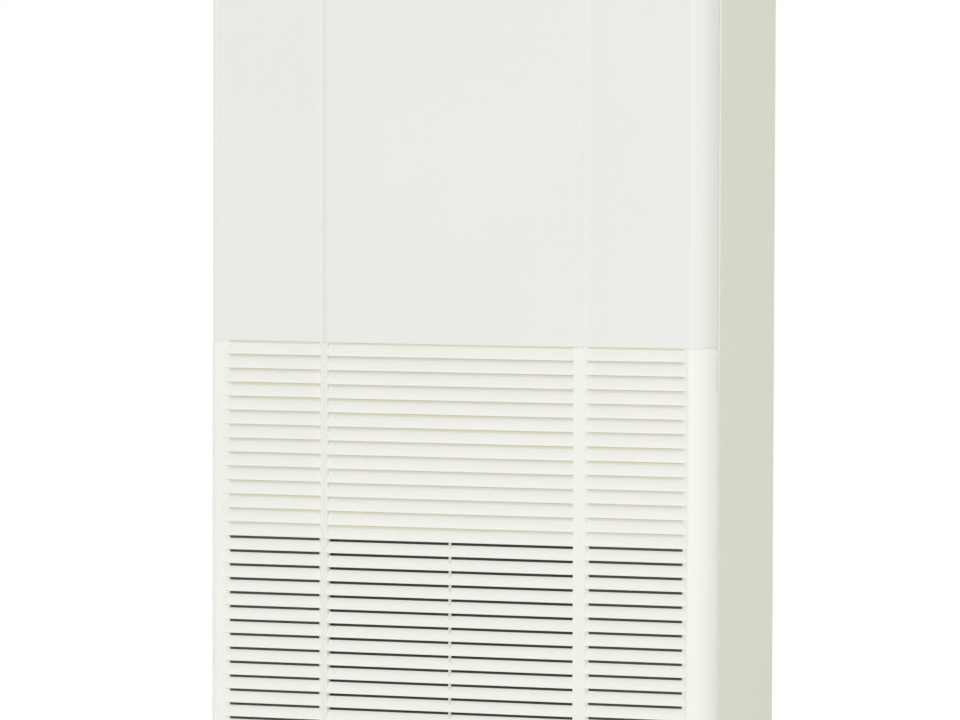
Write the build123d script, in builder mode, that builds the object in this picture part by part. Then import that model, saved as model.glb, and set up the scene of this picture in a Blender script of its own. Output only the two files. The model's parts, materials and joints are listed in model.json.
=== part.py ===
"""Floor standing air conditioner: a tall cabinet unit with a louvred intake below and a
discharge mouth with swinging louvres at the top.

Millimetres. +Z is up, the front faces -Y, and the origin is the middle of the footprint on
the floor. Air comes in through the intake grille and the filter, through the bell mouth into
the fan, up through the slanted coil and out between the vanes and flaps.
"""

import os
from math import atan2, cos, degrees, hypot, pi, radians, sin, tan

from build123d import *

os.makedirs("parts", exist_ok=True)

# ---------------------------------------------------------------- driving dimensions
# Cabinet
cabinet_width = 600.0
cabinet_depth = 270.0
cabinet_height = 1850.0
steel = 1.0  # folded sheet
base_steel = 1.6  # floor pan
plastic = 2.5  # moulded walls
seam = 0.5  # visible seam between two panels
seat = 0.3  # gap between a piece and what carries it
floor_gap = 3.0  # side and rear panels end this far above the floor

# Front profile, seen from above
centre_half = 146.5  # half width of the raised centre
step_width = 9.0
step_depth = 9.0
corner_width = 24.0
corner_depth = 38.0
corner_nose = 17.0  # radius at the front of the corner, which runs on into a flatter flank
return_depth = 2.0  # straight stretch behind the rounded corner

# Heights of the three front panels
grille_bottom = 30.0
outlet_height = 464.0  # from the foot of the outlet panel to the top
cap_height = 12.5
cap_edge = 2.0  # chamfer round the top
panel_gap = 1.5  # between one front panel and the next
flange_depth = 12.0
rib_spacing = 148.0
rib_thickness = 2.0

# Intake grille
slat_pitch = 15.88
slat_rows = 53
sill_height = 68.36  # from the grille's foot to the lowest slat
blind_rows = 14  # backed by a plate, from the top
slat_gap = 3.4
slat_recess = 5.0
slat_thickness = 2.4
slat_lip = 1.2
centre_margin = 0.7  # from the steps to the mouths of the slat windows
centre_taper = 1.5  # how far a window narrows from its mouth to its floor
side_margin = 24.4  # from the cabinet's sides to the mouths of the outer windows
side_taper = (3.8, 7.1)  # the same, at the inner and outer ends of the outer windows
slat_overlap = 0.3  # how far each slat's end runs into the frame
foot_return = 10.0  # depth of the lip under the grille
middle_rib_width = 2.6
middle_rib_setback = 3.0
notch_height = 39.0  # finger notch in the edge of the grille
notch_drop = 10.0  # below the top of the grille
notch_depth = 6.0

# Grille hinge and catches
hinge_height = 40.0
hinge_setback = 6.0  # in front of the back edge of the grille
hinge_pin_radius = 3.0
knuckle_radius = 5.5
knuckle_length = 9.0
hinge_inset = 32.0  # from the cabinet's sides to the knuckles
running = 0.08  # radial clearance of a running fit
ear_thickness = 2.0
ear_gap = 2.0
striker_width = 6.0
striker_height = 6.0
striker_inset = 10.0
striker_drop = 25.0  # below the top of the grille
striker_reach = 14.0  # behind the back edge of the grille
catch_leaf = 1.5
catch_play = 0.5
catch_depth = 18.0

# Air filter
filter_height = 620.0
filter_thickness = 8.4
filter_border = 12.0
filter_columns = 4
filter_rows = 5
filter_bar = 4.0
rail_wall = 2.0
rail_lip = 10.0
rail_bottom = 96.0
rail_drop = 10.0  # below the top of the grille
shelf_height = 3.0
filter_play = 0.4
net_thickness = 0.8
net_recess = 2.0  # the net lies on the bars, this far behind the frame's face
tab_width = 60.0
tab_height = 12.0

# Fan
fan_x = -22.0
fan_z = 400.0
rotor_radius = 160.0
rotor_eye_radius = 134.0
rotor_front = -36.0
rotor_back = 49.0
rotor_ring = 3.0
blade_count = 36
blade_thickness = 1.6
blade_sweep = 8.0  # degrees that the blade tip leads its root
hub_radius = 17.0
hub_length = 66.0
shaft_radius = 6.0
shaft_nose = 8.0  # in front of the hub
nut_width = 19.0
nut_thickness = 6.0
scroll_step = 22.0  # growth of the scroll in each quarter turn
scroll_clearance = 16.0
scroll_wall = 1.5
scroll_front = -44.5
scroll_back = 60.0
tongue_angle = 60.0
tongue_radius = 4.0
outlet_left = -60.0
neck_flange = 14.0
bell_throat = 128.0
bell_curl = 18.0
fan_hub_flare = 3.2  # radius of the hub's foot over that of the hub

# Motor
bracket_thickness = 2.5
bracket_arm = 26.0
bracket_reach = 82.0
isolator_radius = 9.0
isolator_thickness = 3.0
isolator_circle = 63.0
isolator_bore = 2.5
motor_radius = 58.0
motor_length = 54.0
motor_flange = 3.0
motor_bore_depth = 26.0

# Deck over the fan room
deck_height = 705.0
deck_steel = 1.2
deck_skirt = 15.0
deck_tongue_margin = 5.0  # the deck's front part is wider than the control box by this
deck_tongue_front = -102.0

# Coil, drain pan and pipes
coil_lean = 14.0  # degrees, the top leans to the front
coil_thickness = 40.0
coil_room = (38.0, 64.0)  # from the cabinet's sides to the coil's left and right ends
coil_headroom = 81.5  # from the coil to the top of the liners
coil_foot = (93.0, 735.0)  # y and z of the middle of its lower edge
end_plate = 2.0
end_plate_border = 4.0
bend_rows = 9
tube_radius = 4.76
bend_reach = 16.0
pan_front = 62.0
pan_back = 128.0
pan_rim = 745.0
pan_wall = 2.0
saddle_width = 8.0
saddle_length = 12.0
spigot_radius = 13.0
spigot_wall = 2.5
spigot_collar = 2.0
spigot_length = 66.0
spigot_grip = 40.0  # stretch for the hose, up to the collar
spigot_place = (45.0, 88.0)  # from the left side, and y
hose_room = 5.0  # round the hose that hangs from the spigot through the floor pan
gas_radius = 7.94
gas_place = (38.0, 88.0)  # from the right side, and y
liquid_radius = 4.76
liquid_place = (38.0, 60.0)
pipe_end = 190.0
pipe_bend = 30.0
header_foot = 70.0  # from the coil's foot to the bend of the headers
feed_first = 110.0  # from the coil's foot to the lowest feeder
feed_pitch = 110.0
feed_offset = 30.0  # between the liquid feeders and the gas feeders
gas_union_radius = 11.1
liquid_union_radius = 7.9
union_thread = 16.0
union_hex = 18.0
pipe_notch_margin = 12.0

# Duct over the coil
liner_thickness = 12.5
liner_back = 122.0
liner_rise = 12.7  # above the foot of the outlet panel
cover_step = 15.0  # height over which the cover steps forward
cover_back = -48.0
cover_rise = 113.0  # above the foot of the outlet panel
duct_wall = 14.0
duct_turn = 110.0  # radius of the curved back of the discharge duct

# Discharge mouth and louvres
mouth_margin = 66.0  # from the cabinet's sides
mouth_height = 256.0
mouth_drop = 47.0  # below the top of the cabinet
frame_wall = 4.0
frame_front = -123.2
frame_back = -20.0
frame_flange_rise = 114.5  # above the foot of the outlet panel
frame_flange_drop = 16.0  # below the top of the cabinet
frame_flange_margin = 16.0  # from the cabinet's sides
flap_count = 5
flap_pitch = 50.0
flap_chord = 46.0
flap_thickness = 3.2
flap_tilt = 12.0
flap_y = -96.0
flap_crank = 12.0
flap_end_gap = 5.5
vane_count = 6
vane_pitch = 74.0
vane_chord = 44.0
vane_thickness = 2.0
vane_y = -48.0
vane_crank = 14.0
vane_foot = 10.0
vane_head = 2.5
louvre_pin = 2.5
crank_pin = 1.44
link_play = 0.06
link_width = 8.0
link_thickness = 2.5
step_motor_radius = 14.0
step_motor_length = 19.0
step_motor_shaft = 8.0

# Control box
box_margin = 120.0  # from the cabinet's sides
box_front = -102.0
box_back = -50.0
box_drop = 18.0  # below the top of the grille
board_thickness = 1.6
board_standoff = 7.0

# Controller built into the outlet panel
controller_width = 116.0
controller_height = 116.0
controller_thickness = 15.0
controller_rise = 74.0  # above the foot of the outlet panel
controller_setback = 0.8  # behind the raised centre
controller_play = 1.0
pocket_wall = 2.0
display_size = (52.0, 26.0)
display_at = (-22.0, 36.0)
lid_height = 52.0
lid_thickness = 2.0
lid_pin = 1.2
button_travel = 0.8
button_proud = 0.6
button_stem = 5.0
button_play = 0.25
key_corner = 1.5

# Fixings
small_sides = 8  # small pins, bores and screws are drawn with this many sides
anchor_inset = 30.0
anchor_front = -60.0
anchor_back = 115.0
anchor_radius = 6.0
wall_hole_inset = 100.0
wall_hole_drop = 70.0
wall_hole_radius = 4.5
screw_radius = 2.0
screw_head = 3.8
screw_head_height = 2.2
screw_length = 8.0
screw_rows = 5

# ---------------------------------------------------------------- places worked out from them
half = cabinet_width / 2
front = -cabinet_depth / 2
back = cabinet_depth / 2
side_front = front + step_depth
shell_back = side_front + corner_depth + return_depth
flank_radius = (
    (corner_width**2 + corner_depth**2 - 2 * corner_depth * corner_nose)
    / (2 * (corner_width - corner_nose))
)
nose_turn = degrees(atan2(flank_radius - corner_width, corner_depth - corner_nose))
window_bottom = grille_bottom + sill_height
panel_bottom = window_bottom + slat_rows * slat_pitch
outlet_bottom = cabinet_height - outlet_height
grille_top = panel_bottom - panel_gap
centre_mouth = centre_half - centre_margin
centre_floor = centre_mouth - centre_taper
side_mouth = (centre_half + step_width + centre_margin, half - side_margin)
side_floor = (side_mouth[0] + side_taper[0], side_mouth[1] - side_taper[1])
notch_top = panel_bottom - notch_drop
notch_bottom = notch_top - notch_height
hinge_half_span = half - hinge_inset
striker_x = half - striker_inset
striker_z = panel_bottom - striker_drop
rail_top = panel_bottom - rail_drop
box_top = panel_bottom - box_drop
box_half = half - box_margin
spigot_at = (-half + spigot_place[0], spigot_place[1])
gas_at = (half - gas_place[0], gas_place[1])
liquid_at = (half - liquid_place[0], liquid_place[1])
coil_left = -half + coil_room[0]
coil_right = half - coil_room[1]
liner_top = outlet_bottom + liner_rise
coil_height = (liner_top - coil_headroom - coil_foot[1]) / cos(radians(coil_lean))
cover_top = outlet_bottom + cover_rise
mouth_width = cabinet_width - 2 * mouth_margin
mouth_bottom = cabinet_height - mouth_drop - mouth_height
frame_flange = (outlet_bottom + frame_flange_rise, cabinet_height - frame_flange_drop)
frame_flange_half = half - frame_flange_margin
controller_centre = outlet_bottom + controller_rise
wall_hole_x = half - wall_hole_inset
wall_hole_z = cabinet_height - wall_hole_drop
anchor_x = half - anchor_inset
grille_wall = slat_recess + slat_thickness
slat_back = side_front + grille_wall
panel_top = outlet_bottom - panel_gap
cap_bottom = cabinet_height - cap_height
skin_top = cap_bottom - seat
outlet_top = cap_bottom - seam
flange_front = shell_back + seam  # front face of the side panels' front flange
flange_back = flange_front + steel
rear_skin = back - 2.5  # outer face of the rear panel
rear_flange = rear_skin - steel  # outer face of the side panels' rear flange
inside = half - steel
hinge = (shell_back - hinge_setback, hinge_height)
nose_centre = (half - corner_width, side_front + corner_nose)
flank_centre = (half - flank_radius, side_front + corner_depth)
deck_top = deck_height + deck_steel
fan_centre = (fan_x, fan_z)
motor_back = scroll_back + scroll_wall + bracket_thickness + isolator_thickness + motor_flange


def front_plane(y):
    """A plane facing the front at depth y: sketches on it read X and Z."""
    return Plane.XZ.offset(-y)


def block(x_span, y_span, z_span, mode=Mode.ADD):
    """A straight-sided block between two places on each axis."""
    spans = [(min(span), max(span)) for span in (x_span, y_span, z_span)]
    with Locations(tuple((low + high) / 2 for low, high in spans)):
        Box(*[high - low for low, high in spans], mode=mode)


def small_round(radius):
    """Outline of a small pin or head, inside its true circle."""
    RegularPolygon(radius, small_sides)


def small_hole(radius):
    """A small bore, outside its true circle."""
    RegularPolygon(radius, small_sides, major_radius=False, mode=Mode.SUBTRACT)


def pointed_bar(length, width, rotation=0):
    """Outline of a long bar with pointed ends, for beads, blades and links."""
    nose = length / 2 - width / 2
    Polygon(
        (-length / 2, 0),
        (-nose, width / 2),
        (nose, width / 2),
        (length / 2, 0),
        (nose, -width / 2),
        (-nose, -width / 2),
        rotation=rotation,
    )


def front_outline(inset, back_y, mode=Mode.ADD):
    """Plan outline of the front: raised centre, slanted steps and corners of two arcs each."""
    shift = inset * tan(radians(22.5))
    width = half - inset
    with BuildLine() as outline:
        ends = []
        for side in (-1, 1):
            nose_at = (side * nose_centre[0], nose_centre[1])
            flank_at = (side * flank_centre[0], flank_centre[1])
            nose = CenterArc(nose_at, corner_nose - inset, 270, side * nose_turn)
            flank_start = 270 + side * nose_turn
            flank = CenterArc(flank_at, flank_radius - inset, flank_start, side * (90 - nose_turn))
            ends.append((nose @ 0, flank @ 1))
        (left_nose, left_flank), (right_nose, right_flank) = ends
        Polyline(
            left_nose,
            (-centre_half - step_width + shift, side_front + inset),
            (-centre_half + shift, front + inset),
            (centre_half - shift, front + inset),
            (centre_half + step_width - shift, side_front + inset),
            right_nose,
        )
        Polyline(right_flank, (width, back_y), (-width, back_y), left_flank)
    make_face(outline.edges(), mode=mode)


def shell(bottom, top):
    """An open-backed stretch of the moulded front between two heights."""
    with BuildSketch(Plane.XY.offset(bottom)) as section:
        front_outline(0, shell_back)
        front_outline(plastic, shell_back + 1, mode=Mode.SUBTRACT)
    extrude(section.sketch, amount=top - bottom)


def inner_flange(bottom, thickness):
    """A flange round the inside of the moulded front."""
    with BuildSketch(Plane.XY.offset(bottom)) as section:
        front_outline(plastic / 2, shell_back - 1)
        front_outline(flange_depth, shell_back, mode=Mode.SUBTRACT)
    extrude(section.sketch, amount=thickness)


# ---------------------------------------------------------------- front panels
with BuildPart() as upper_front_panel:
    shell(panel_bottom, panel_top)
    inner_flange(panel_bottom, plastic)
    inner_flange(panel_top - plastic, plastic)
    for rib in range(1, int((panel_top - panel_bottom) / rib_spacing)):
        inner_flange(panel_bottom + rib * rib_spacing, rib_thickness)


def slat_window(mouth, floor, face, bottom):
    """Cut for one column of slats: open at the top, with slanted reveals at its two ends."""
    with BuildSketch(Plane.XY.offset(bottom)) as section:
        Polygon(
            (mouth[0], face - 1),
            (mouth[0], face),
            (floor[0], face + slat_recess),
            (floor[0], face + grille_wall + 3),
            (floor[1], face + grille_wall + 3),
            (floor[1], face + slat_recess),
            (mouth[1], face),
            (mouth[1], face - 1),
            align=None,
        )
    extrude(section.sketch, amount=grille_top + 1 - bottom, mode=Mode.SUBTRACT)


def slats(mouth, face):
    """One column of overlapping slats, each flush at its foot and set in at its head."""
    rise = slat_pitch - slat_gap
    feet = [(0, panel_bottom - row * slat_pitch) for row in range(1, slat_rows + 1)]
    with BuildSketch(Plane.YZ.offset(mouth[0] - slat_overlap)) as section:
        with Locations(*feet):
            Polygon(
                (face, 0),
                (face, slat_lip),
                (face + slat_recess, rise),
                (face + grille_wall - slat_overlap, rise),
                (face + slat_thickness, 0),
                align=None,
            )
    extrude(section.sketch, amount=mouth[1] - mouth[0] + 2 * slat_overlap)


blind_bottom = panel_bottom - blind_rows * slat_pitch
slat_columns = (
    ((-side_mouth[1], -side_mouth[0]), (-side_floor[1], -side_floor[0]), side_front),
    ((-centre_mouth, centre_mouth), (-centre_floor, centre_floor), front),
    (side_mouth, side_floor, side_front),
)
rail_x = side_floor[1] + 1.5
filter_front = slat_back + filter_play
filter_back = filter_front + filter_thickness

with BuildPart() as intake_grille:
    shell(grille_bottom, grille_top)
    # thicker backing behind the three flat columns
    thick_half = side_mouth[1] + 4.4
    shift = grille_wall * tan(radians(22.5))
    with BuildSketch(Plane.XY.offset(window_bottom - grille_wall)):
        Polygon(
            (-thick_half, slat_back),
            (-thick_half, side_front + 1),
            (-centre_half - step_width + 0.4, side_front + 1),
            (-centre_half + 0.4, front + 1),
            (centre_half - 0.4, front + 1),
            (centre_half + step_width - 0.4, side_front + 1),
            (thick_half, side_front + 1),
            (thick_half, slat_back),
            (centre_half + step_width - shift, slat_back),
            (centre_half - shift, front + grille_wall),
            (-centre_half + shift, front + grille_wall),
            (-centre_half - step_width + shift, slat_back),
            align=None,
        )
    extrude(amount=grille_top - window_bottom + grille_wall)
    # lip under the foot
    with BuildSketch(Plane.XY.offset(grille_bottom)):
        front_outline(plastic / 2, shell_back)
        with Locations((0, side_front + foot_return - cabinet_depth / 2)):
            Rectangle(cabinet_width, cabinet_depth, mode=Mode.INTERSECT)
    extrude(amount=plastic)
    for mouth, floor, face in slat_columns:
        slat_window(mouth, floor, face, window_bottom)
    for mouth, floor, face in slat_columns:
        slats(mouth, face)
        plate = (face + slat_recess + slat_overlap, face + grille_wall)
        plate_x = (min(floor) - slat_overlap, max(floor) + slat_overlap)
        block(plate_x, plate, (blind_bottom + slat_pitch / 2, grille_top))
    rib_depth = (front + middle_rib_setback, front + grille_wall)
    block((-middle_rib_width / 2, middle_rib_width / 2), rib_depth, (window_bottom, blind_bottom))
    for side in (-1, 1):
        # rail and shelf for the filter
        rail = (side * rail_x, side * (rail_x + rail_wall))
        lip = (side * (rail_x + rail_wall - rail_lip), rail[1])
        lip_front = filter_back + filter_play
        block(rail, (slat_back - 0.5, lip_front + rail_wall), (rail_bottom, rail_top))
        block(lip, (lip_front, lip_front + rail_wall), (rail_bottom, rail_top))
        shelf_front = side_front + plastic - 0.5
        block(lip, (shelf_front, lip_front + 0.5), (rail_bottom, rail_bottom + shelf_height))
        # striker that the catch grips
        striker = (side * (striker_x - striker_width / 2), side * (striker_x + striker_width / 2))
        striker_span = (striker_z - striker_height / 2, striker_z + striker_height / 2)
        striker_root = shell_back - notch_depth - 8
        root = (striker[0], side * (half - plastic / 2))
        block(striker, (striker_root, shell_back + striker_reach), striker_span)
        block(root, (striker_root, striker_root + 8), striker_span)
        # finger notch, and room for the hinge at the foot of the return
        edge = (side * (half - plastic - 1), side * (half + 1))
        block(edge, (shell_back - notch_depth, shell_back + 1), (notch_bottom, notch_top), Mode.SUBTRACT)
        block(edge, (hinge[0], shell_back + 1), (grille_bottom - 1, hinge_height + 1), Mode.SUBTRACT)
        # hinge arm with its knuckle
        knuckle_face = side * hinge_half_span if side > 0 else -hinge_half_span - knuckle_length
        with BuildSketch(Plane.YZ.offset(knuckle_face)):
            with Locations(hinge):
                small_round(knuckle_radius)
            arm_root = side_front + plastic / 2
            Polygon(
                (arm_root, hinge[1] - knuckle_radius),
                (hinge[0], hinge[1] - knuckle_radius),
                (hinge[0], hinge[1] + knuckle_radius),
                (arm_root, hinge[1] + 2 * knuckle_radius),
                align=None,
            )
            with Locations(hinge):
                small_hole(hinge_pin_radius + running)
        extrude(amount=knuckle_length)

pocket_x = controller_width / 2 + controller_play
pocket_z = (
    controller_centre - controller_height / 2 - controller_play,
    controller_centre + controller_height / 2 + controller_play,
)
controller_face = front + controller_setback
pocket_floor = controller_face + controller_thickness + seat
mouth_top = mouth_bottom + mouth_height
mouth_half = mouth_width / 2
aperture_half = mouth_half + 1
aperture = (mouth_bottom - 1, mouth_top + 1)

with BuildPart() as outlet_panel:
    shell(outlet_bottom, outlet_top)
    inner_flange(outlet_bottom, plastic)
    inner_flange(outlet_top - plastic, plastic)
    # rim behind the mouth, level with the back of the side faces
    rim = (front + 1, side_front + plastic)
    rim_z = (aperture[0] - plastic, aperture[1] + plastic)
    rim_half = aperture_half + plastic
    with BuildSketch(Plane.XY.offset(rim_z[0])):
        Polygon(
            (-rim_half, rim[1]),
            (-rim_half, side_front + 1),
            (-centre_half - step_width + 0.4, side_front + 1),
            (-centre_half + 0.4, rim[0]),
            (centre_half - 0.4, rim[0]),
            (centre_half + step_width - 0.4, side_front + 1),
            (rim_half, side_front + 1),
            (rim_half, rim[1]),
            align=None,
        )
    extrude(amount=rim_z[1] - rim_z[0])
    block((-aperture_half, aperture_half), (front - 1, shell_back), aperture, Mode.SUBTRACT)
    # pocket for the controller
    outer_x = pocket_x + pocket_wall
    outer_z = (pocket_z[0] - pocket_wall, pocket_z[1] + pocket_wall)
    block((-outer_x, outer_x), (front + 1, pocket_floor + pocket_wall), outer_z)
    block((-pocket_x, pocket_x), (front - 1, pocket_floor), pocket_z, Mode.SUBTRACT)

# ---------------------------------------------------------------- steel cabinet
screw_x = half - steel - 7.5
screw_low = 100.0
screw_high = wall_hole_z
screw_heights = [
    screw_low + row * (screw_high - screw_low) / (screw_rows - 1) for row in range(screw_rows)
]
front_flange_width = 18.0
rear_flange_width = 15.0
catch_opening = striker_height + 4.0

with BuildPart() as right_side_panel:
    with BuildSketch(Plane.XY.offset(floor_gap)):
        with BuildLine():
            Polyline(
                (half, flange_front),
                (half, back),
                (inside, back),
                (inside, rear_flange),
                (inside - rear_flange_width, rear_flange),
                (inside - rear_flange_width, rear_flange - steel),
                (inside, rear_flange - steel),
                (inside, flange_back),
                (inside - front_flange_width, flange_back),
                (inside - front_flange_width, flange_front),
                close=True,
            )
        make_face()
    extrude(amount=skin_top - floor_gap)
    block(
        (inside - front_flange_width, inside),
        (flange_back, rear_flange - steel),
        (skin_top - steel, skin_top),
    )
    # slot for the grille's striker, and screw holes in the rear flange
    slot_half = striker_width / 2 + 1.5
    block(
        (striker_x - slot_half, striker_x + slot_half),
        (flange_front - 1, flange_back + 1),
        (striker_z - catch_opening / 2, striker_z + catch_opening / 2),
        Mode.SUBTRACT,
    )
    with BuildSketch(front_plane(rear_flange + 0.5)):
        with Locations(*[(screw_x, z) for z in screw_heights]):
            small_round(screw_radius + 0.4)
    extrude(amount=steel + 1, mode=Mode.SUBTRACT)

with BuildPart() as left_side_panel:
    mirror(right_side_panel.part, about=Plane.YZ)

bead_width = cabinet_width - 170
bead_height = 16.0
bead_count = 6
bead_rise = 1.0
knockout_radius = 38.0
rear_panel_half = inside - 0.2

with BuildPart() as rear_panel:
    with BuildSketch(front_plane(rear_skin)):
        with Locations((0, (floor_gap + skin_top) / 2)):
            Rectangle(2 * rear_panel_half, skin_top - floor_gap)
        with Locations(*[(side * screw_x, z) for side in (-1, 1) for z in screw_heights]):
            small_hole(screw_radius + 0.2)
        with Locations((-wall_hole_x, wall_hole_z), (wall_hole_x, wall_hole_z)):
            small_hole(wall_hole_radius)
    extrude(amount=steel)
    # pressed stiffening beads and the scored ring of the pipe knock-out
    bead_pitch = (screw_high - screw_low) / (bead_count + 1)
    with BuildSketch(front_plane(rear_skin)):
        with Locations(*[(0, screw_low + bead * bead_pitch) for bead in range(1, bead_count + 1)]):
            pointed_bar(bead_width, bead_height)
    extrude(amount=-bead_rise)
    with BuildSketch(front_plane(rear_skin)):
        with Locations((-screw_x + 80, 120)):
            small_round(knockout_radius)
            RegularPolygon(knockout_radius - 2, small_sides, mode=Mode.SUBTRACT)
    extrude(amount=steel / 2, mode=Mode.SUBTRACT)

with BuildPart() as top_panel:
    with BuildSketch(Plane.XY.offset(cap_bottom)):
        front_outline(0, back)
    extrude(amount=cap_height)
    chamfer(top_panel.edges().group_by(Axis.Z)[-1], length=cap_edge)
    with BuildSketch(Plane.XY.offset(cap_bottom)):
        front_outline(steel * 1.5, back - steel * 1.5)
    extrude(amount=cap_height - steel * 1.5, mode=Mode.SUBTRACT)

base_flange = 45.0
toe_flange = 22.0
toe_front = -104.0
pan_half = inside
pipe_hole = ((half - 72.0, half - 10.0), (30.0, 100.0))

with BuildPart() as base_frame:
    base_back = rear_flange - steel - 0.2
    with BuildSketch():
        with Locations((0, (toe_front + base_back) / 2)):
            Rectangle(2 * pan_half, base_back - toe_front)
        anchors = [(side * anchor_x, y) for side in (-1, 1) for y in (anchor_front, anchor_back)]
        with Locations(*anchors):
            Circle(anchor_radius, mode=Mode.SUBTRACT)
        (hole_x0, hole_x1), (hole_y0, hole_y1) = pipe_hole
        with Locations(((hole_x0 + hole_x1) / 2, (hole_y0 + hole_y1) / 2)):
            Rectangle(hole_x1 - hole_x0, hole_y1 - hole_y0, mode=Mode.SUBTRACT)
        with Locations(spigot_at):
            small_hole(spigot_radius + hose_room)
    extrude(amount=base_steel)
    block((-pan_half, pan_half), (base_back - base_steel, base_back), (0, base_flange))
    toe_half = hinge_half_span + knuckle_length
    block((-toe_half, toe_half), (toe_front, toe_front + base_steel), (0, toe_flange))
    for side in (-1, 1):
        flange_x = (side * (pan_half - base_steel), side * pan_half)
        block(flange_x, (flange_back + 0.2, base_back), (0, base_flange))
        ear_x = hinge_half_span - ear_gap - ear_thickness
        with BuildSketch(Plane.YZ.offset(ear_x if side > 0 else -ear_x - ear_thickness)):
            with Locations(hinge):
                small_round(knuckle_radius + 1)
            Polygon(
                (toe_front, 0),
                (hinge[0] + knuckle_radius + 1, 0),
                (hinge[0] + knuckle_radius + 1, hinge[1]),
                (hinge[0] - knuckle_radius - 1, hinge[1]),
                (toe_front, toe_flange),
                align=None,
            )
            with Locations(hinge):
                small_hole(hinge_pin_radius + running / 2)
        extrude(amount=ear_thickness)

with BuildPart() as grille_hinge_pins:
    pin_start = hinge_half_span - ear_gap - ear_thickness - 3
    for side in (-1, 1):
        pin_length = knuckle_length + ear_gap + ear_thickness + 5
        with BuildSketch(Plane.YZ.offset(side * pin_start)):
            with Locations(hinge):
                small_round(hinge_pin_radius)
        extrude(amount=side * pin_length)
        with BuildSketch(Plane.YZ.offset(side * pin_start)):
            with Locations(hinge):
                small_round(hinge_pin_radius + 1.5)
        extrude(amount=side * 2)

with BuildPart() as grille_catches:
    catch_half = striker_height / 2 + catch_play
    for side in (-1, 1):
        catch_x = (side * (striker_x - 5), side * (striker_x + 5))
        leaf = (flange_back, flange_back + catch_depth)
        for sign in (-1, 1):
            leaf_z = (striker_z + sign * catch_half, striker_z + sign * (catch_half + catch_leaf))
            foot_z = (leaf_z[0], striker_z + sign * (catch_opening / 2 + 6))
            block(catch_x, leaf, leaf_z)
            block(catch_x, (flange_back, flange_back + catch_leaf), foot_z)
        back_z = (striker_z - catch_half - catch_leaf, striker_z + catch_half + catch_leaf)
        block(catch_x, (leaf[1], leaf[1] + catch_leaf), back_z)

with BuildPart() as cabinet_screws:
    spots = [(side * screw_x, z) for side in (-1, 1) for z in screw_heights]
    with BuildSketch(front_plane(rear_skin)):
        with Locations(*spots):
            RegularPolygon(screw_head, 6)
    extrude(amount=-screw_head_height)
    with BuildSketch(front_plane(rear_skin)):
        with Locations(*spots):
            small_round(screw_radius)
    extrude(amount=screw_length)

# ---------------------------------------------------------------- air filter
filter_half = rail_x - filter_play
filter_bottom = rail_bottom + shelf_height + seat
filter_middle = filter_bottom + filter_height / 2

with BuildPart() as filter_frame:
    with BuildSketch(front_plane(filter_front)):
        with Locations((0, filter_middle)):
            Rectangle(2 * filter_half, filter_height)
            cell_width = (2 * filter_half - 2 * filter_border + filter_bar) / filter_columns
            cell_height = (filter_height - 2 * filter_border + filter_bar) / filter_rows
            with GridLocations(cell_width, cell_height, filter_columns, filter_rows):
                Rectangle(cell_width - filter_bar, cell_height - filter_bar, mode=Mode.SUBTRACT)
    extrude(amount=-filter_thickness)
    # pull tab
    tab_z = filter_bottom + filter_height
    tab_depth = (filter_front + 2, filter_front + 5)
    block((-tab_width / 2, tab_width / 2), tab_depth, (tab_z - 1, tab_z + tab_height))
    # recess that the net lies in, on the front of the bars
    net_half = filter_half - filter_border / 2
    net_height = filter_height - filter_border
    net_span = (filter_middle - net_height / 2, filter_middle + net_height / 2)
    net_back = filter_front + net_recess
    block((-net_half, net_half), (filter_front - 1, net_back), net_span, Mode.SUBTRACT)

with BuildPart() as filter_net:
    block((-net_half, net_half), (net_back - net_thickness, net_back), net_span)

# ---------------------------------------------------------------- fan
first_radius = rotor_radius + scroll_clearance + scroll_step / 2
scroll_top = deck_height - seat
first_centre = (fan_x - scroll_step / 2, fan_z - scroll_step / 2)
scroll_right = first_centre[0] + first_radius + 3 * scroll_step


def scroll_outline():
    """Inside of the scroll: three quarter arcs round a small square, then the rising neck."""
    x, z = first_centre
    with BuildLine() as outline:
        top_arc = CenterArc((x, z), first_radius, tongue_angle, 180 - tongue_angle)
        low_arc = CenterArc((x + scroll_step, z), first_radius + scroll_step, 180, 90)
        last_centre = (x + scroll_step, z + scroll_step)
        last_arc = CenterArc(last_centre, first_radius + 2 * scroll_step, 270, 90)
        Polyline(last_arc @ 1, (scroll_right, scroll_top), (outlet_left, scroll_top), top_arc @ 0)
    make_face(outline.edges())


with BuildPart() as fan_casing:
    scroll_depth = scroll_back - scroll_front
    with BuildSketch(front_plane(scroll_back + scroll_wall)):
        scroll_outline()
        offset(amount=scroll_wall, kind=Kind.INTERSECTION)
    extrude(amount=scroll_depth + scroll_wall)
    with BuildSketch(front_plane(scroll_back)):
        scroll_outline()
    extrude(amount=scroll_depth + 1, mode=Mode.SUBTRACT)
    neck_x = (outlet_left - neck_flange, scroll_right + neck_flange)
    block(neck_x, (scroll_front, scroll_back + neck_flange), (scroll_top - scroll_wall, scroll_top))
    neck_cut = (scroll_front - 1, scroll_back)
    neck_cut_z = (scroll_top - scroll_wall - 1, scroll_top + 2)
    block((outlet_left, scroll_right), neck_cut, neck_cut_z, Mode.SUBTRACT)
    with BuildSketch(front_plane(scroll_back - 1)):
        with Locations(fan_centre):
            Circle(shaft_radius * 3)
    extrude(amount=-scroll_wall - 2, mode=Mode.SUBTRACT)
    block(neck_x, (scroll_front - 20, scroll_back + 40), (scroll_top, scroll_top + 20), Mode.SUBTRACT)

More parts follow.
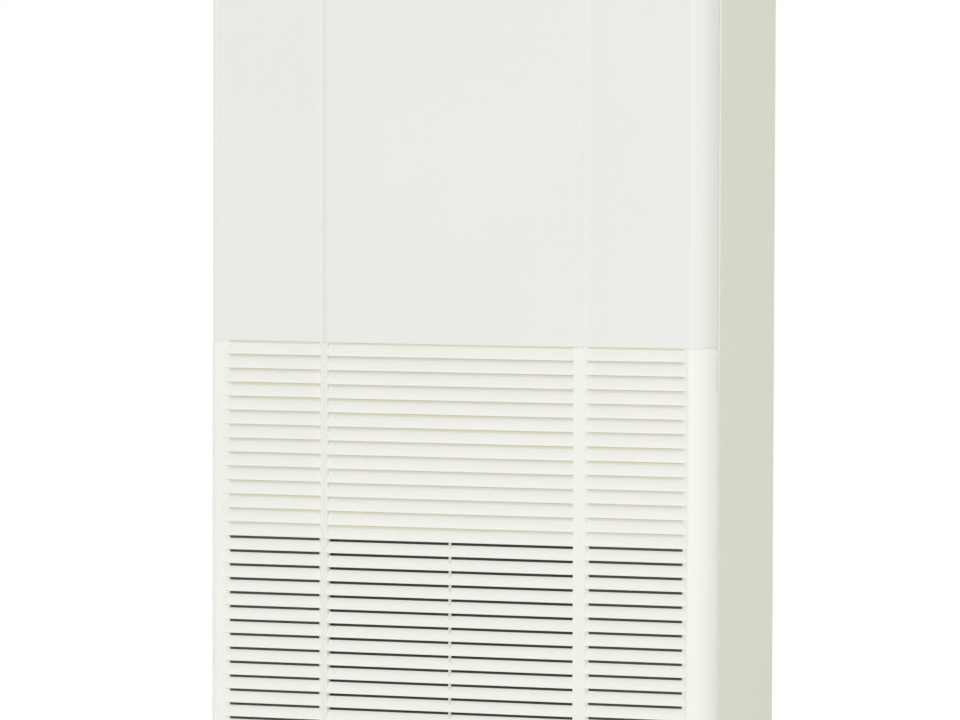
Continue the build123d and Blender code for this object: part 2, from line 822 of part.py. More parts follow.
with BuildPart() as bell_mouth:
    plate_front = scroll_front - scroll_wall
    with BuildSketch(front_plane(scroll_front)):
        scroll_outline()
        offset(amount=scroll_wall, kind=Kind.INTERSECTION)
        with Locations(fan_centre):
            Circle(bell_throat + bell_curl, mode=Mode.SUBTRACT)
    extrude(amount=scroll_wall)
    plate_cut_z = (scroll_top - scroll_wall, scroll_top + 5)
    block(neck_x, (plate_front - 1, scroll_front + 1), plate_cut_z, Mode.SUBTRACT)
    with BuildSketch(Plane.XY.offset(fan_z)):
        curl_centre = (fan_x + bell_throat + bell_curl, plate_front + bell_curl)
        curl = [
            (curl_centre[0] + radius * cos(radians(turn)), curl_centre[1] + radius * sin(radians(turn)))
            for radius, turns in ((bell_curl, (180, 225, 270)), (bell_curl - scroll_wall, (270, 225, 180)))
            for turn in turns
        ]
        Polygon(*curl, align=None)
    revolve(axis=Axis((fan_x, 0, fan_z), (0, 1, 0)))


def blade(angle):
    """One forward-curved blade: its tip leads its root."""
    sides = []
    for lead in (0.0, degrees(blade_thickness / rotor_radius)):
        radii = (rotor_eye_radius + 1, (rotor_eye_radius + rotor_radius) / 2, rotor_radius - 0.5)
        turns = (0.0, 0.3 * blade_sweep, blade_sweep)
        sides.append([
            (
                fan_x + radius * cos(radians(angle + lead + turn)),
                fan_z + radius * sin(radians(angle + lead + turn)),
            )
            for radius, turn in zip(radii, turns)
        ])
    Polygon(*sides[0], *reversed(sides[1]), align=None)


# disc with its hub, and the ring round the front
hub_front = rotor_back - hub_length
with BuildPart() as fan_rotor:
    with BuildSketch(front_plane(rotor_back)):
        with Locations(fan_centre):
            Circle(rotor_radius)
    extrude(amount=rotor_ring)
    with BuildSketch(Plane.XY.offset(fan_z)):
        Polygon(
            (fan_x, rotor_back),
            (fan_x + fan_hub_flare * hub_radius, rotor_back),
            (fan_x + fan_hub_flare * hub_radius, rotor_back - rotor_ring),
            (fan_x + hub_radius, rotor_back - hub_length / 3),
            (fan_x + hub_radius, hub_front),
            (fan_x, hub_front),
            align=None,
        )
    revolve(axis=Axis((fan_x, 0, fan_z), (0, 1, 0)))
    with BuildSketch(front_plane(rotor_back + 1)):
        with Locations(fan_centre):
            Circle(shaft_radius + 0.02)
    extrude(amount=hub_length + 2, mode=Mode.SUBTRACT)
    with BuildSketch(front_plane(rotor_front + rotor_ring)):
        with Locations(fan_centre):
            Circle(rotor_radius)
            Circle(rotor_eye_radius, mode=Mode.SUBTRACT)
    extrude(amount=rotor_ring)

# blades crimped between the disc and the front ring
with BuildPart() as fan_blades:
    with BuildSketch(front_plane(rotor_back - rotor_ring)):
        for index in range(blade_count):
            blade(index * 360 / blade_count)
    extrude(amount=rotor_back - rotor_front - 2 * rotor_ring)

with BuildPart() as fan_nut:
    with BuildSketch(front_plane(hub_front)):
        with Locations(fan_centre):
            RegularPolygon(nut_width / 2, 6, major_radius=False)
            small_hole(shaft_radius + 0.02)
    extrude(amount=nut_thickness)

motor_face = motor_back - motor_flange  # front of the motor's flange
with BuildPart() as motor_shaft:
    with BuildSketch(front_plane(hub_front - shaft_nose)):
        with Locations(fan_centre):
            Circle(shaft_radius)
    extrude(amount=-(motor_face + motor_bore_depth - 1 - hub_front + shaft_nose))

isolator_spots = [
    (fan_x + isolator_circle * cos(radians(a)), fan_z + isolator_circle * sin(radians(a)))
    for a in (0, 90, 180, 270)
]

with BuildPart() as motor_bracket:
    bracket_back = scroll_back + scroll_wall + bracket_thickness
    with BuildSketch(front_plane(bracket_back)):
        with Locations(fan_centre):
            Rectangle(2 * bracket_reach, bracket_arm)
            Rectangle(bracket_arm, 2 * bracket_reach)
            small_round(bracket_arm * 1.5)
            small_hole(shaft_radius * 2.5)
        with Locations(*isolator_spots):
            small_hole(isolator_bore)
    extrude(amount=bracket_thickness)

with BuildPart() as motor_isolators:
    with BuildSketch(front_plane(motor_face)):
        with Locations(*isolator_spots):
            small_round(isolator_radius)
            small_hole(isolator_bore)
    extrude(amount=isolator_thickness)

with BuildPart() as fan_motor:
    with BuildSketch(front_plane(motor_back)):
        with Locations(*isolator_spots):
            small_round(isolator_radius)
            small_hole(isolator_bore)
        with Locations(fan_centre):
            Circle(motor_radius)
    extrude(amount=motor_flange)
    with BuildSketch(Plane.XY.offset(fan_z)):
        end = motor_back + motor_length
        Polygon(
            (fan_x, motor_back),
            (fan_x + motor_radius, motor_back),
            (fan_x + motor_radius, end - 10),
            (fan_x + motor_radius - 10, end),
            (fan_x, end),
            align=None,
        )
    revolve(axis=Axis((fan_x, 0, fan_z), (0, 1, 0)))
    with BuildSketch(front_plane(motor_face - 1)):
        with Locations(fan_centre):
            Circle(shaft_radius + running)
    extrude(amount=-(motor_bore_depth + 1), mode=Mode.SUBTRACT)

with BuildPart() as fan_deck:
    deck_half = inside - seat
    deck_front = flange_back + seat
    deck_back = rear_flange - steel - 0.5
    with BuildSketch(Plane.XY.offset(deck_height)):
        with Locations((0, (deck_front + deck_back) / 2)):
            Rectangle(2 * deck_half, deck_back - deck_front)
        with Locations((0, (deck_tongue_front + deck_front) / 2)):
            Rectangle(2 * (box_half + deck_tongue_margin), deck_front - deck_tongue_front + 2)
        with Locations(((outlet_left + scroll_right) / 2, (scroll_front + scroll_back) / 2)):
            Rectangle(scroll_right - outlet_left, scroll_back - scroll_front, mode=Mode.SUBTRACT)
        notch_front = liquid_at[1] - liquid_radius - pipe_notch_margin
        notch_back = gas_at[1] + gas_radius + pipe_notch_margin
        notch_left = gas_at[0] - gas_radius - 8
        with Locations(((notch_left + half) / 2, (notch_front + notch_back) / 2)):
            Rectangle(half - notch_left, notch_back - notch_front, mode=Mode.SUBTRACT)
        with Locations(spigot_at):
            small_hole(spigot_radius + spigot_collar + 0.6)
    extrude(amount=deck_steel)
    for side in (-1, 1):
        skirt_front = notch_back if side > 0 else deck_front
        skirt = (side * (deck_half - deck_steel), side * deck_half)
        block(skirt, (skirt_front, deck_back), (deck_height - deck_skirt, deck_height))

# ---------------------------------------------------------------- coil, drain and pipes
lean = radians(coil_lean)
coil_up = (0, -sin(lean), cos(lean))
coil_front_way = (0, -cos(lean), -sin(lean))
coil_width = coil_right - coil_left
coil_middle_x = (coil_left + coil_right) / 2


def coil_plane(forward):
    """A plane along the coil's face, set forward of its middle; its Y runs up the slope."""
    foot = (
        0,
        coil_foot[0] + forward * coil_front_way[1],
        coil_foot[1] + forward * coil_front_way[2],
    )
    return Plane(origin=foot, x_dir=(1, 0, 0), z_dir=coil_front_way)


with BuildPart() as coil_fins:
    with BuildSketch(coil_plane(-coil_thickness / 2)):
        with Locations((coil_middle_x, coil_height / 2)):
            Rectangle(coil_width - 2 * end_plate, coil_height)
    extrude(amount=coil_thickness)

with BuildPart() as coil_end_plates:
    for x in (coil_left + end_plate / 2, coil_right - end_plate / 2):
        with BuildSketch(coil_plane(-coil_thickness / 2 - end_plate_border)):
            with Locations((x, (coil_height + end_plate_border) / 2)):
                Rectangle(end_plate, coil_height + end_plate_border)
        extrude(amount=coil_thickness + 2 * end_plate_border)

with BuildPart() as coil_return_bends:
    bend_pitch = coil_height / bend_rows
    for forward in (-coil_thickness / 4, coil_thickness / 4):
        with BuildSketch(coil_plane(forward - tube_radius)):
            bend_half = 0.31 * bend_pitch
            for row in range(bend_rows):
                with Locations((coil_left, (row + 0.5) * bend_pitch)):
                    Polygon(
                        (0, -bend_half),
                        (0, bend_half),
                        (0.4 * bend_reach - bend_reach, bend_half),
                        (-bend_reach, bend_half - 0.4 * bend_reach),
                        (-bend_reach, 0.4 * bend_reach - bend_half),
                        (0.4 * bend_reach - bend_reach, -bend_half),
                        align=None,
                    )
        extrude(amount=2 * tube_radius)

pan_left = coil_left - bend_reach - 6
with BuildPart() as drain_pan:
    pan_bottom = deck_top + seat
    pan_middle = ((pan_left + coil_right + 4) / 2, (pan_front + pan_back) / 2)
    pan_size = (coil_right + 4 - pan_left, pan_back - pan_front)
    with BuildSketch(Plane.XY.offset(pan_bottom)):
        with Locations(pan_middle):
            Rectangle(*pan_size)
    extrude(amount=pan_rim - pan_bottom)
    with BuildSketch(Plane.XY.offset(pan_bottom + pan_wall)):
        with Locations(pan_middle):
            Rectangle(pan_size[0] - 2 * pan_wall, pan_size[1] - 2 * pan_wall)
    extrude(amount=pan_rim, mode=Mode.SUBTRACT)
    # saddles under the coil's lower edge
    edge_y = coil_foot[0] - (coil_thickness / 2) * cos(lean)
    edge_z = coil_foot[1] - (coil_thickness / 2) * sin(lean)
    for x in (coil_left + 60, coil_middle_x, coil_right - 60):
        saddle_x = (x - saddle_length / 2, x + saddle_length / 2)
        saddle_y = (edge_y - saddle_width / 4, edge_y + saddle_width)
        block(saddle_x, saddle_y, (pan_bottom, edge_z - seat))
    with BuildSketch(Plane.XY.offset(pan_bottom - 1)):
        with Locations(spigot_at):
            RegularPolygon(spigot_radius - spigot_wall, small_sides, major_radius=False)
    extrude(amount=pan_wall + 2, mode=Mode.SUBTRACT)

with BuildPart() as drain_spigot:
    grip_top = pan_bottom - spigot_length + spigot_grip
    with BuildSketch(Plane.XY.offset(pan_bottom)):
        with Locations(spigot_at):
            small_round(spigot_radius + spigot_collar)
    extrude(amount=grip_top - pan_bottom)
    with BuildSketch(Plane.XY.offset(grip_top)):
        with Locations(spigot_at):
            Circle(spigot_radius)
    extrude(amount=-spigot_grip)
    with BuildSketch(Plane.XY.offset(pan_bottom + 1)):
        with Locations(spigot_at):
            RegularPolygon(spigot_radius - spigot_wall, small_sides, major_radius=False)
    extrude(amount=-spigot_length - 2, mode=Mode.SUBTRACT)


def pipe(radius, place, feed_heights, top_height):
    """A header along the coil's end, its feeder stubs, and the pipe down to the unions."""
    x, y = place
    slope = -tan(lean)
    corner_z = coil_foot[1] + header_foot
    top = (x, y + slope * (top_height - corner_z), top_height)
    with BuildLine() as route:
        FilletPolyline(top, (x, y, corner_z), (x, y, pipe_end), radius=pipe_bend)
    with BuildSketch(Plane(origin=route.line @ 0, z_dir=route.line % 0)) as section:
        Circle(radius)
    sweep(section.sketch, path=route.line)
    for feed in feed_heights:
        with BuildSketch(Plane.YZ.offset(coil_right)) as stub:
            with Locations((y + slope * (feed - corner_z), feed)):
                small_round(tube_radius * 0.8)
        extrude(stub.sketch, amount=x - coil_right)


feed_low = coil_foot[1] + feed_first
gas_feeds = [feed_low + step * feed_pitch for step in range(4)]
liquid_feeds = [feed_low + feed_offset + step * feed_pitch for step in range(2)]
with BuildPart() as gas_pipe:
    pipe(gas_radius, gas_at, gas_feeds, gas_feeds[-1] + feed_offset)

with BuildPart() as liquid_pipe:
    pipe(liquid_radius, liquid_at, liquid_feeds, liquid_feeds[-1] + feed_offset)

with BuildPart() as pipe_unions:
    for (x, y), pipe_radius, thread_radius in (
        (gas_at, gas_radius, gas_union_radius),
        (liquid_at, liquid_radius, liquid_union_radius),
    ):
        with BuildSketch(Plane.XY.offset(pipe_end)):
            with Locations((x, y)):
                RegularPolygon(thread_radius + 2, 6, major_radius=False)
        extrude(amount=-union_hex)
        with BuildSketch(Plane.XY.offset(pipe_end - union_hex)):
            with Locations((x, y)):
                Circle(thread_radius)
        extrude(amount=-union_thread)
        with BuildSketch(Plane.XY.offset(pipe_end - 1)):
            with Locations((x, y)):
                RegularPolygon(pipe_radius - 1.5, small_sides)
        extrude(amount=-union_thread - union_hex, mode=Mode.SUBTRACT)

# ---------------------------------------------------------------- duct over the coil
with BuildPart() as duct_front_cover:
    with BuildSketch(Plane.YZ.offset(-inside + front_flange_width + 0.4)):
        with BuildLine():
            Polyline(
                (cover_back, deck_top + seat),
                (cover_back, rail_top),
                (flange_back, rail_top + cover_step),
                (flange_back, cover_top),
                (frame_back - 0.5, cover_top),
            )
            offset(amount=steel, side=Side.LEFT, kind=Kind.INTERSECTION)
        make_face()
    extrude(amount=2 * (inside - front_flange_width - 0.4))

with BuildPart() as duct_liners:
    catch_room = (flange_back, flange_back + catch_depth + 6)
    catch_room_z = (striker_z - catch_opening / 2 - 10, striker_z + catch_opening / 2 + 10)
    for side in (-1, 1):
        liner_x = (side * (inside - seat), side * (inside - seat - liner_thickness))
        if side < 0:
            liner_y = (flange_back + seat, liner_back)
            block(liner_x, liner_y, (deck_top + seat, liner_top))
        else:
            # the right liner starts above the pipe notch of the deck
            block(liner_x, (flange_back + seat, notch_front - 2), (deck_top + seat, liner_top))
            block(liner_x, (notch_front - 3, liner_back), (deck_top + seat + 60, liner_top))
        block((side * (half - 20), side * half), catch_room, catch_room_z, Mode.SUBTRACT)

duct_half = inside - seat - liner_thickness - 0.2
duct_bottom = liner_top + seat
duct_front = frame_back + seat
duct_top = skin_top - steel - seat
duct_back = rear_flange - steel - 8

with BuildPart() as discharge_duct:
    with BuildSketch(Plane.YZ.offset(-duct_half)):
        with Locations(((duct_front + duct_back) / 2, (duct_bottom + duct_top) / 2)):
            Rectangle(duct_back - duct_front, duct_top - duct_bottom)
    extrude(amount=2 * duct_half)
    channel_half = duct_half - duct_wall
    channel_back = duct_back - duct_wall
    with BuildSketch(Plane.YZ.offset(-channel_half)):
        with BuildLine():
            turn_start = (channel_back, mouth_top - duct_turn)
            turn_end = (channel_back - duct_turn, mouth_top)
            Polyline(
                turn_end,
                (duct_front - 1, mouth_top),
                (duct_front - 1, mouth_bottom),
                (duct_front + duct_wall, mouth_bottom - duct_wall),
                (duct_front + duct_wall, duct_bottom - 1),
                (channel_back, duct_bottom - 1),
                turn_start,
            )
            RadiusArc(turn_start, turn_end, -duct_turn)
        make_face()
    extrude(amount=2 * channel_half, mode=Mode.SUBTRACT)

# ---------------------------------------------------------------- discharge louvres
flap_middle = mouth_bottom + mouth_height / 2
flap_heights = [flap_middle + (i - (flap_count - 1) / 2) * flap_pitch for i in range(flap_count)]
vane_places = [(i - (vane_count - 1) / 2) * vane_pitch for i in range(vane_count)]
frame_half = mouth_half + frame_wall
frame_z = (mouth_bottom - frame_wall, mouth_top + frame_wall)
driven_flap = flap_count // 2
driven_vane = vane_count // 2

with BuildPart() as louvre_frame:
    block((-frame_half, frame_half), (frame_front, frame_back), frame_z)
    block((-frame_flange_half, frame_flange_half), (frame_back - 2, frame_back), frame_flange)
    mouth_depth = (frame_front - 1, frame_back + 1)
    block((-mouth_half, mouth_half), mouth_depth, (mouth_bottom, mouth_top), Mode.SUBTRACT)
    # pivot holes of the flaps and the vanes
    with BuildSketch(Plane.YZ.offset(-frame_half - 1)):
        with Locations(*[(flap_y, z) for z in flap_heights]):
            RegularPolygon(louvre_pin + link_play, small_sides, major_radius=False)
    extrude(amount=2 * frame_half + 2, mode=Mode.SUBTRACT)
    with BuildSketch(Plane.XY.offset(frame_z[0] - 1)):
        with Locations(*[(x, vane_y) for x in vane_places]):
            RegularPolygon(louvre_pin + link_play, small_sides, major_radius=False)
    extrude(amount=frame_z[1] - frame_z[0] + 2, mode=Mode.SUBTRACT)

blade_half = mouth_half - flap_end_gap


def flap(height, right_pin):
    """A flat blade with sharpened edges, its two pivot pins and the link's crank pin."""
    with BuildSketch(Plane.YZ.offset(-blade_half)) as section:
        with Locations((flap_y, height)):
            pointed_bar(flap_chord, flap_thickness, flap_tilt)
    extrude(section.sketch, amount=2 * blade_half)
    for start, length in ((-blade_half, -(flap_end_gap + frame_wall - 0.5)), (blade_half, right_pin)):
        with BuildSketch(Plane.YZ.offset(start)) as section_2:
            with Locations((flap_y, height)):
                small_round(louvre_pin)
        extrude(section_2.sketch, amount=length)
    crank_y = flap_y + flap_crank * cos(radians(flap_tilt))
    crank_z = height + flap_crank * sin(radians(flap_tilt))
    with BuildSketch(Plane.YZ.offset(-blade_half)) as section_3:
        with Locations((crank_y, crank_z)):
            small_round(crank_pin)
    extrude(section_3.sketch, amount=-(link_thickness + 2.2))


flaps = []
for index, height in enumerate(flap_heights):
    pin_length = flap_end_gap + frame_wall - 0.5
    if index == driven_flap:
        pin_length += step_motor_shaft
    with BuildPart() as flap_blade:
        flap(height, pin_length)
    flaps.append(flap_blade)

with BuildPart() as flap_link:
    link_y = flap_y + flap_crank * cos(radians(flap_tilt))
    link_rise = flap_crank * sin(radians(flap_tilt))
    with BuildSketch(Plane.YZ.offset(-blade_half - 1.2)):
        with Locations((link_y, flap_middle + link_rise)):
            pointed_bar(flap_heights[-1] - flap_heights[0] + 2 * link_width, link_width, 90)
        with Locations(*[(link_y, z + link_rise) for z in flap_heights]):
            small_hole(crank_pin + link_play)
    extrude(amount=-link_thickness)

vane_bottom = mouth_bottom + vane_foot
vane_top = mouth_top - vane_head


def vane(x, top_pin):
    """An upright blade with its two pivot pins and the link's crank pin under it."""
    with BuildSketch(Plane.XY.offset(vane_bottom)) as section:
        with Locations((x, vane_y)):
            pointed_bar(vane_chord, vane_thickness, 90)
            small_round(louvre_pin)
    extrude(section.sketch, amount=vane_top - vane_bottom)
    with BuildSketch(Plane.XY.offset(vane_bottom)) as section_2:
        with Locations((x, vane_y)):
            small_round(louvre_pin)
    extrude(section_2.sketch, amount=-(vane_foot + frame_wall - 0.5))
    with BuildSketch(Plane.XY.offset(vane_top)) as section_3:
        with Locations((x, vane_y)):
            small_round(louvre_pin)
    extrude(section_3.sketch, amount=top_pin)
    with BuildSketch(Plane.XY.offset(vane_bottom)) as section_4:
        with Locations((x, vane_y + vane_crank)):
            small_round(crank_pin)
    extrude(section_4.sketch, amount=-(link_thickness + 4.5))
    with BuildSketch(Plane.XY.offset(vane_bottom)) as section_5:
        with Locations((x, vane_y + vane_crank)):
            small_round(crank_pin + 0.8)
    extrude(section_5.sketch, amount=3)


vanes = []
for index, x in enumerate(vane_places):
    pin_length = vane_head + frame_wall - 0.5
    if index == driven_vane:
        pin_length += step_motor_shaft
    with BuildPart() as vane_blade:
        vane(x, pin_length)
    vanes.append(vane_blade)

with BuildPart() as vane_link:
    vane_link_z = vane_bottom - 3.0
    with BuildSketch(Plane.XY.offset(vane_link_z)):
        with Locations((0, vane_y + vane_crank)):
            pointed_bar(vane_places[-1] - vane_places[0] + 2 * link_width, link_width)
        with Locations(*[(x, vane_y + vane_crank) for x in vane_places]):
            small_hole(crank_pin + link_play)
    extrude(amount=-link_thickness)


def step_motor(plane, place):
    """A small round geared motor with two lugs and a bore for the driven blade's pin."""
    with BuildSketch(plane) as section:
        with Locations(place):
            Circle(step_motor_radius)
            small_hole(louvre_pin + link_play)
    extrude(section.sketch, amount=step_motor_length)
    with BuildSketch(plane) as section_2:
        with Locations(place):
            Rectangle(7, step_motor_radius * 2 + 14)
            Rectangle(8, step_motor_radius * 2 - 2, mode=Mode.SUBTRACT)
    extrude(section_2.sketch, amount=1.2)


with BuildPart() as flap_motor:
    step_motor(Plane.YZ.offset(frame_half + seat), (flap_y, flap_heights[driven_flap]))

with BuildPart() as vane_motor:
    motor_place = (vane_places[driven_vane], vane_y)
    step_motor(Plane.XY.offset(frame_z[1] + seat), motor_place)

# ---------------------------------------------------------------- control box
with BuildPart() as control_box:
    box_bottom = deck_top + seat
    block((-box_half, box_half), (box_front, box_back), (box_bottom, box_top))
    offset(amount=-steel, openings=control_box.faces().sort_by(Axis.Y)[0])

with BuildPart() as control_box_cover:
    block((-box_half, box_half), (box_front - steel, box_front), (box_bottom, box_top))
    with BuildSketch(front_plane(box_front - steel)):
        with Locations((0, (box_bottom + box_top) / 2)):
            Rectangle(2 * box_half - 40, box_top - box_bottom - 40)
    extrude(amount=1.0)

with BuildPart() as circuit_board:
    board_back = box_back - steel - board_standoff
    board_z = (box_bottom + 30, box_top - 25)
    board_x = (-box_half + 25, 40)
    block(board_x, (board_back - board_thickness, board_back), board_z)
    for x in (board_x[0] + 8, board_x[1] - 8):
        for z in (board_z[0] + 8, board_z[1] - 8):
            with BuildSketch(front_plane(board_back)):
                with Locations((x, z)):
                    small_round(3)
            extrude(amount=-board_standoff)
    board_front = board_back - board_thickness
    with BuildSketch(front_plane(board_front)):
        with Locations((board_x[0] + 40, board_z[0] + 40), (board_x[0] + 40, board_z[0] + 75)):
            small_round(13)
        with Locations((board_x[1] - 50, board_z[0] + 45)):
            Rectangle(50, 34)
        with Locations((board_x[1] - 40, board_z[1] - 40)):
            Rectangle(28, 28)
    extrude(amount=20)

with BuildPart() as terminal_block:
    terminal_x = (70, 150)
    terminal_z = (box_bottom + 40, box_bottom + 66)
    block(terminal_x, (box_back - steel - 22, box_back - steel), terminal_z)
    with BuildSketch(front_plane(box_back - steel - 22)):
        with Locations((sum(terminal_x) / 2, sum(terminal_z) / 2)):
            with GridLocations(20, 1, 4, 1):
                Rectangle(14, 18)
    extrude(amount=-10, mode=Mode.SUBTRACT)

# ---------------------------------------------------------------- controller
controller_z = (controller_centre - controller_height / 2, controller_centre + controller_height / 2)
lid_top = controller_z[0] + lid_height
lid_recess = controller_face + lid_thickness + 1.2
lid_hinge = (controller_face + 1.4, controller_z[0] + 4)
ear_start = controller_width / 2 - 5.0
ear_width = 2.5
power_key = (28.0, 42.0, 26.0, 12.0)  # x, height over the middle, width, height
rocker_key = (28.0, 16.0, 14.0, 26.0)
mode_key = (-22.0, -22.0, 22.0, 9.0)


def key_hole(key, face, depth):
    """The well that a key sits in."""
    x, rise, width, height = key
    with BuildSketch(front_plane(face - 1)) as section:
        with Locations((x, controller_centre + rise)):
            Rectangle(width + 2 * button_play, height + 2 * button_play)
    extrude(section.sketch, amount=-(depth + 1), mode=Mode.SUBTRACT)


def key(spec, face):
    """A push key that stands proud of its face, with its stem."""
    x, rise, width, height = spec
    with BuildSketch(front_plane(face + button_stem - seat - button_travel)) as section:
        with Locations((x, controller_centre + rise)):
            Rectangle(width, height)
        chamfer(section.vertices(), length=key_corner)
    extrude(section.sketch, amount=button_stem - seat - button_travel + button_proud)


with BuildPart() as controller_case:
    case_x = (-controller_width / 2, controller_width / 2)
    with BuildSketch(front_plane(controller_face + controller_thickness)):
        with Locations((0, controller_centre)):
            RectangleRounded(controller_width, controller_height, 6)
    extrude(amount=controller_thickness)
    lid_cut = (controller_face - 1, lid_recess)
    block((case_x[0] - 1, case_x[1] + 1), lid_cut, (controller_z[0] - 1, lid_top + 0.5), Mode.SUBTRACT)
    key_hole(power_key, controller_face, button_stem)
    key_hole(rocker_key, controller_face, button_stem)
    key_hole(mode_key, lid_recess, button_stem)
    with BuildSketch(front_plane(controller_face - 1)):
        with Locations((display_at[0], controller_centre + display_at[1])):
            Rectangle(display_size[0], display_size[1])
    extrude(amount=-2.6, mode=Mode.SUBTRACT)
    # ears for the lid's pins
    lid_well = (lid_recess - 1, lid_recess + 2.0)
    lid_well_z = (controller_z[0] - 1, controller_z[0] + 8)
    block((-ear_start - 1, ear_start + 1), lid_well, lid_well_z, Mode.SUBTRACT)
    for side in (-1, 1):
        ear = (side * ear_start, side * (ear_start + ear_width))
        ear_depth = (controller_face + 0.1, lid_recess + 2.5)
        block(ear, ear_depth, (lid_hinge[1] - 2.6, lid_hinge[1] + 2.6))
        with BuildSketch(Plane.YZ.offset(side * (ear_start - 1))):
            with Locations(lid_hinge):
                RegularPolygon(lid_pin + link_play, small_sides, major_radius=False)
        extrude(amount=side * (ear_width + 2), mode=Mode.SUBTRACT)

with BuildPart() as display_window:
    display_z = controller_centre + display_at[1]
    block(
        (display_at[0] - display_size[0] / 2, display_at[0] + display_size[0] / 2),
        (controller_face + 0.2, controller_face + 1.6),
        (display_z - display_size[1] / 2, display_z + display_size[1] / 2),
    )

with BuildPart() as controller_lid:
    lid_foot = lid_hinge[1] - lid_pin - 0.2
    lid_shoulder = lid_hinge[1] + 4
    lid_half = controller_width / 2 - 0.5
    hinge_half = ear_start - 0.4
    with BuildSketch(front_plane(controller_face + lid_thickness)):
        with Locations((0, (lid_shoulder + lid_top) / 2)):
            Rectangle(2 * lid_half, lid_top - lid_shoulder)
        with Locations((0, (lid_foot + lid_shoulder) / 2)):
            Rectangle(2 * hinge_half, lid_shoulder - lid_foot)
    extrude(amount=lid_thickness)
    for side in (-1, 1):
        with BuildSketch(Plane.YZ.offset(side * (hinge_half - 4))):
            with Locations(lid_hinge):
                small_round(lid_pin)
        extrude(amount=side * (4.4 + ear_width - 0.3))

with BuildPart() as on_off_button:
    key(power_key, controller_face)

with BuildPart() as temperature_rocker:
    key(rocker_key, controller_face)

with BuildPart() as mode_button:
    key(mode_key, lid_recess)

# ---------------------------------------------------------------- write the nodes
nodes = {
    "upper_front_panel": upper_front_panel,
    "outlet_panel": outlet_panel,
    "intake_grille": intake_grille,
    "right_side_panel": right_side_panel,
    "left_side_panel": left_side_panel,
    "rear_panel": rear_panel,
    "top_panel": top_panel,
    "base_frame": base_frame,
    "grille_hinge_pins": grille_hinge_pins,
    "grille_catches": grille_catches,
    "cabinet_screws": cabinet_screws,
    "filter_frame": filter_frame,
    "filter_net": filter_net,
    "bell_mouth": bell_mouth,
    "fan_casing": fan_casing,
    "fan_rotor": fan_rotor,
    "fan_blades": fan_blades,
    "fan_nut": fan_nut,
    "motor_shaft": motor_shaft,
    "motor_bracket": motor_bracket,
    "motor_isolators": motor_isolators,
    "fan_motor": fan_motor,
    "fan_deck": fan_deck,
    "coil_fins": coil_fins,
    "coil_end_plates": coil_end_plates,
    "coil_return_bends": coil_return_bends,
    "drain_pan": drain_pan,
    "drain_spigot": drain_spigot,
    "gas_pipe": gas_pipe,
    "liquid_pipe": liquid_pipe,
    "pipe_unions": pipe_unions,
    "duct_front_cover": duct_front_cover,
    "duct_liners": duct_liners,
    "discharge_duct": discharge_duct,
    "louvre_frame": louvre_frame,
    "flap_link": flap_link,
    "flap_motor": flap_motor,
    "vane_link": vane_link,
    "vane_motor": vane_motor,
    "control_box": control_box,
    "control_box_cover": control_box_cover,
    "circuit_board": circuit_board,
    "terminal_block": terminal_block,
    "controller_case": controller_case,
    "display_window": display_window,
    "controller_lid": controller_lid,
    "on_off_button": on_off_button,
    "temperature_rocker": temperature_rocker,
    "mode_button": mode_button,
}
nodes.update({f"flap_{index + 1}": piece for index, piece in enumerate(flaps)})
nodes.update({f"vane_{index + 1}": piece for index, piece in enumerate(vanes)})

for name, piece in nodes.items():
    piece.part.label = name
    export_step(piece.part, f"parts/{name}.step")
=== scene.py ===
"""Dresses a floor standing air conditioner on top of its CAD frame."""

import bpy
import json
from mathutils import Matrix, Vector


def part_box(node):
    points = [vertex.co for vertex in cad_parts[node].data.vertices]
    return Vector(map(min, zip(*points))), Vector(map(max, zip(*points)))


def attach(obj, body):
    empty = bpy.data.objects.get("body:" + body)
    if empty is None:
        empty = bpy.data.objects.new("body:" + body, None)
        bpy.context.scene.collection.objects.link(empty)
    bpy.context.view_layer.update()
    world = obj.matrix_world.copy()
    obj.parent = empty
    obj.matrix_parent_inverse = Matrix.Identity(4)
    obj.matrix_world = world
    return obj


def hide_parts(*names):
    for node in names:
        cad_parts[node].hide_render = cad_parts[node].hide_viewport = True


bl_info = {
    "name": "Floor Standing Air Conditioner",
    "version": (1, 0, 0),
    "blender": (4, 5, 0),
    "location": "3D View > Sidebar > Air Conditioner",
    "description": "Cabinet, slatted intake, louvres and inner parts of a floor standing air conditioner",
    "category": "Object",
}

import json
from math import atan2, cos, pi, radians, sin, tan

import bmesh
import bpy
from bpy.props import FloatProperty, FloatVectorProperty, IntProperty, PointerProperty
from mathutils import Matrix, Vector

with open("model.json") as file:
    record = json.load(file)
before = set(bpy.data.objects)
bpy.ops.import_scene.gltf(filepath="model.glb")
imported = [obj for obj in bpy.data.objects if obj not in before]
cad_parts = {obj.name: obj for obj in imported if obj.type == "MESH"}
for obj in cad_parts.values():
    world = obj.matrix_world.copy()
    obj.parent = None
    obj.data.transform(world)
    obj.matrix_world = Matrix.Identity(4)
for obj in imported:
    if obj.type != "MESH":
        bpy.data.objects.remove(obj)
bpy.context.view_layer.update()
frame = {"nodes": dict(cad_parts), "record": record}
slot_of = {part["node"]: part["material_slot"] for part in frame["record"]["subparts"]}
colour_of = {m["slot"]: tuple(m["base_color"][:3]) for m in frame["record"]["materials"]}
behaviour = frame["record"]["behaviour"]
body_of = {node: body for body, nodes in behaviour["bodies"].items() for node in nodes}
pivot_of = {joint["name"]: Vector(joint["pos_m"]) for joint in behaviour["joints"] if joint.get("pos_m")}


# ---------------------------------------------------------------- settings
def length(name, text, metres):
    """A distance setting in metres."""
    return FloatProperty(name=name, description=text, default=metres, unit="LENGTH", precision=5)


def colour(name, text, tint):
    """A colour setting."""
    return FloatVectorProperty(
        name=name, description=text, default=tint, subtype="COLOR", min=0, max=1, size=3
    )


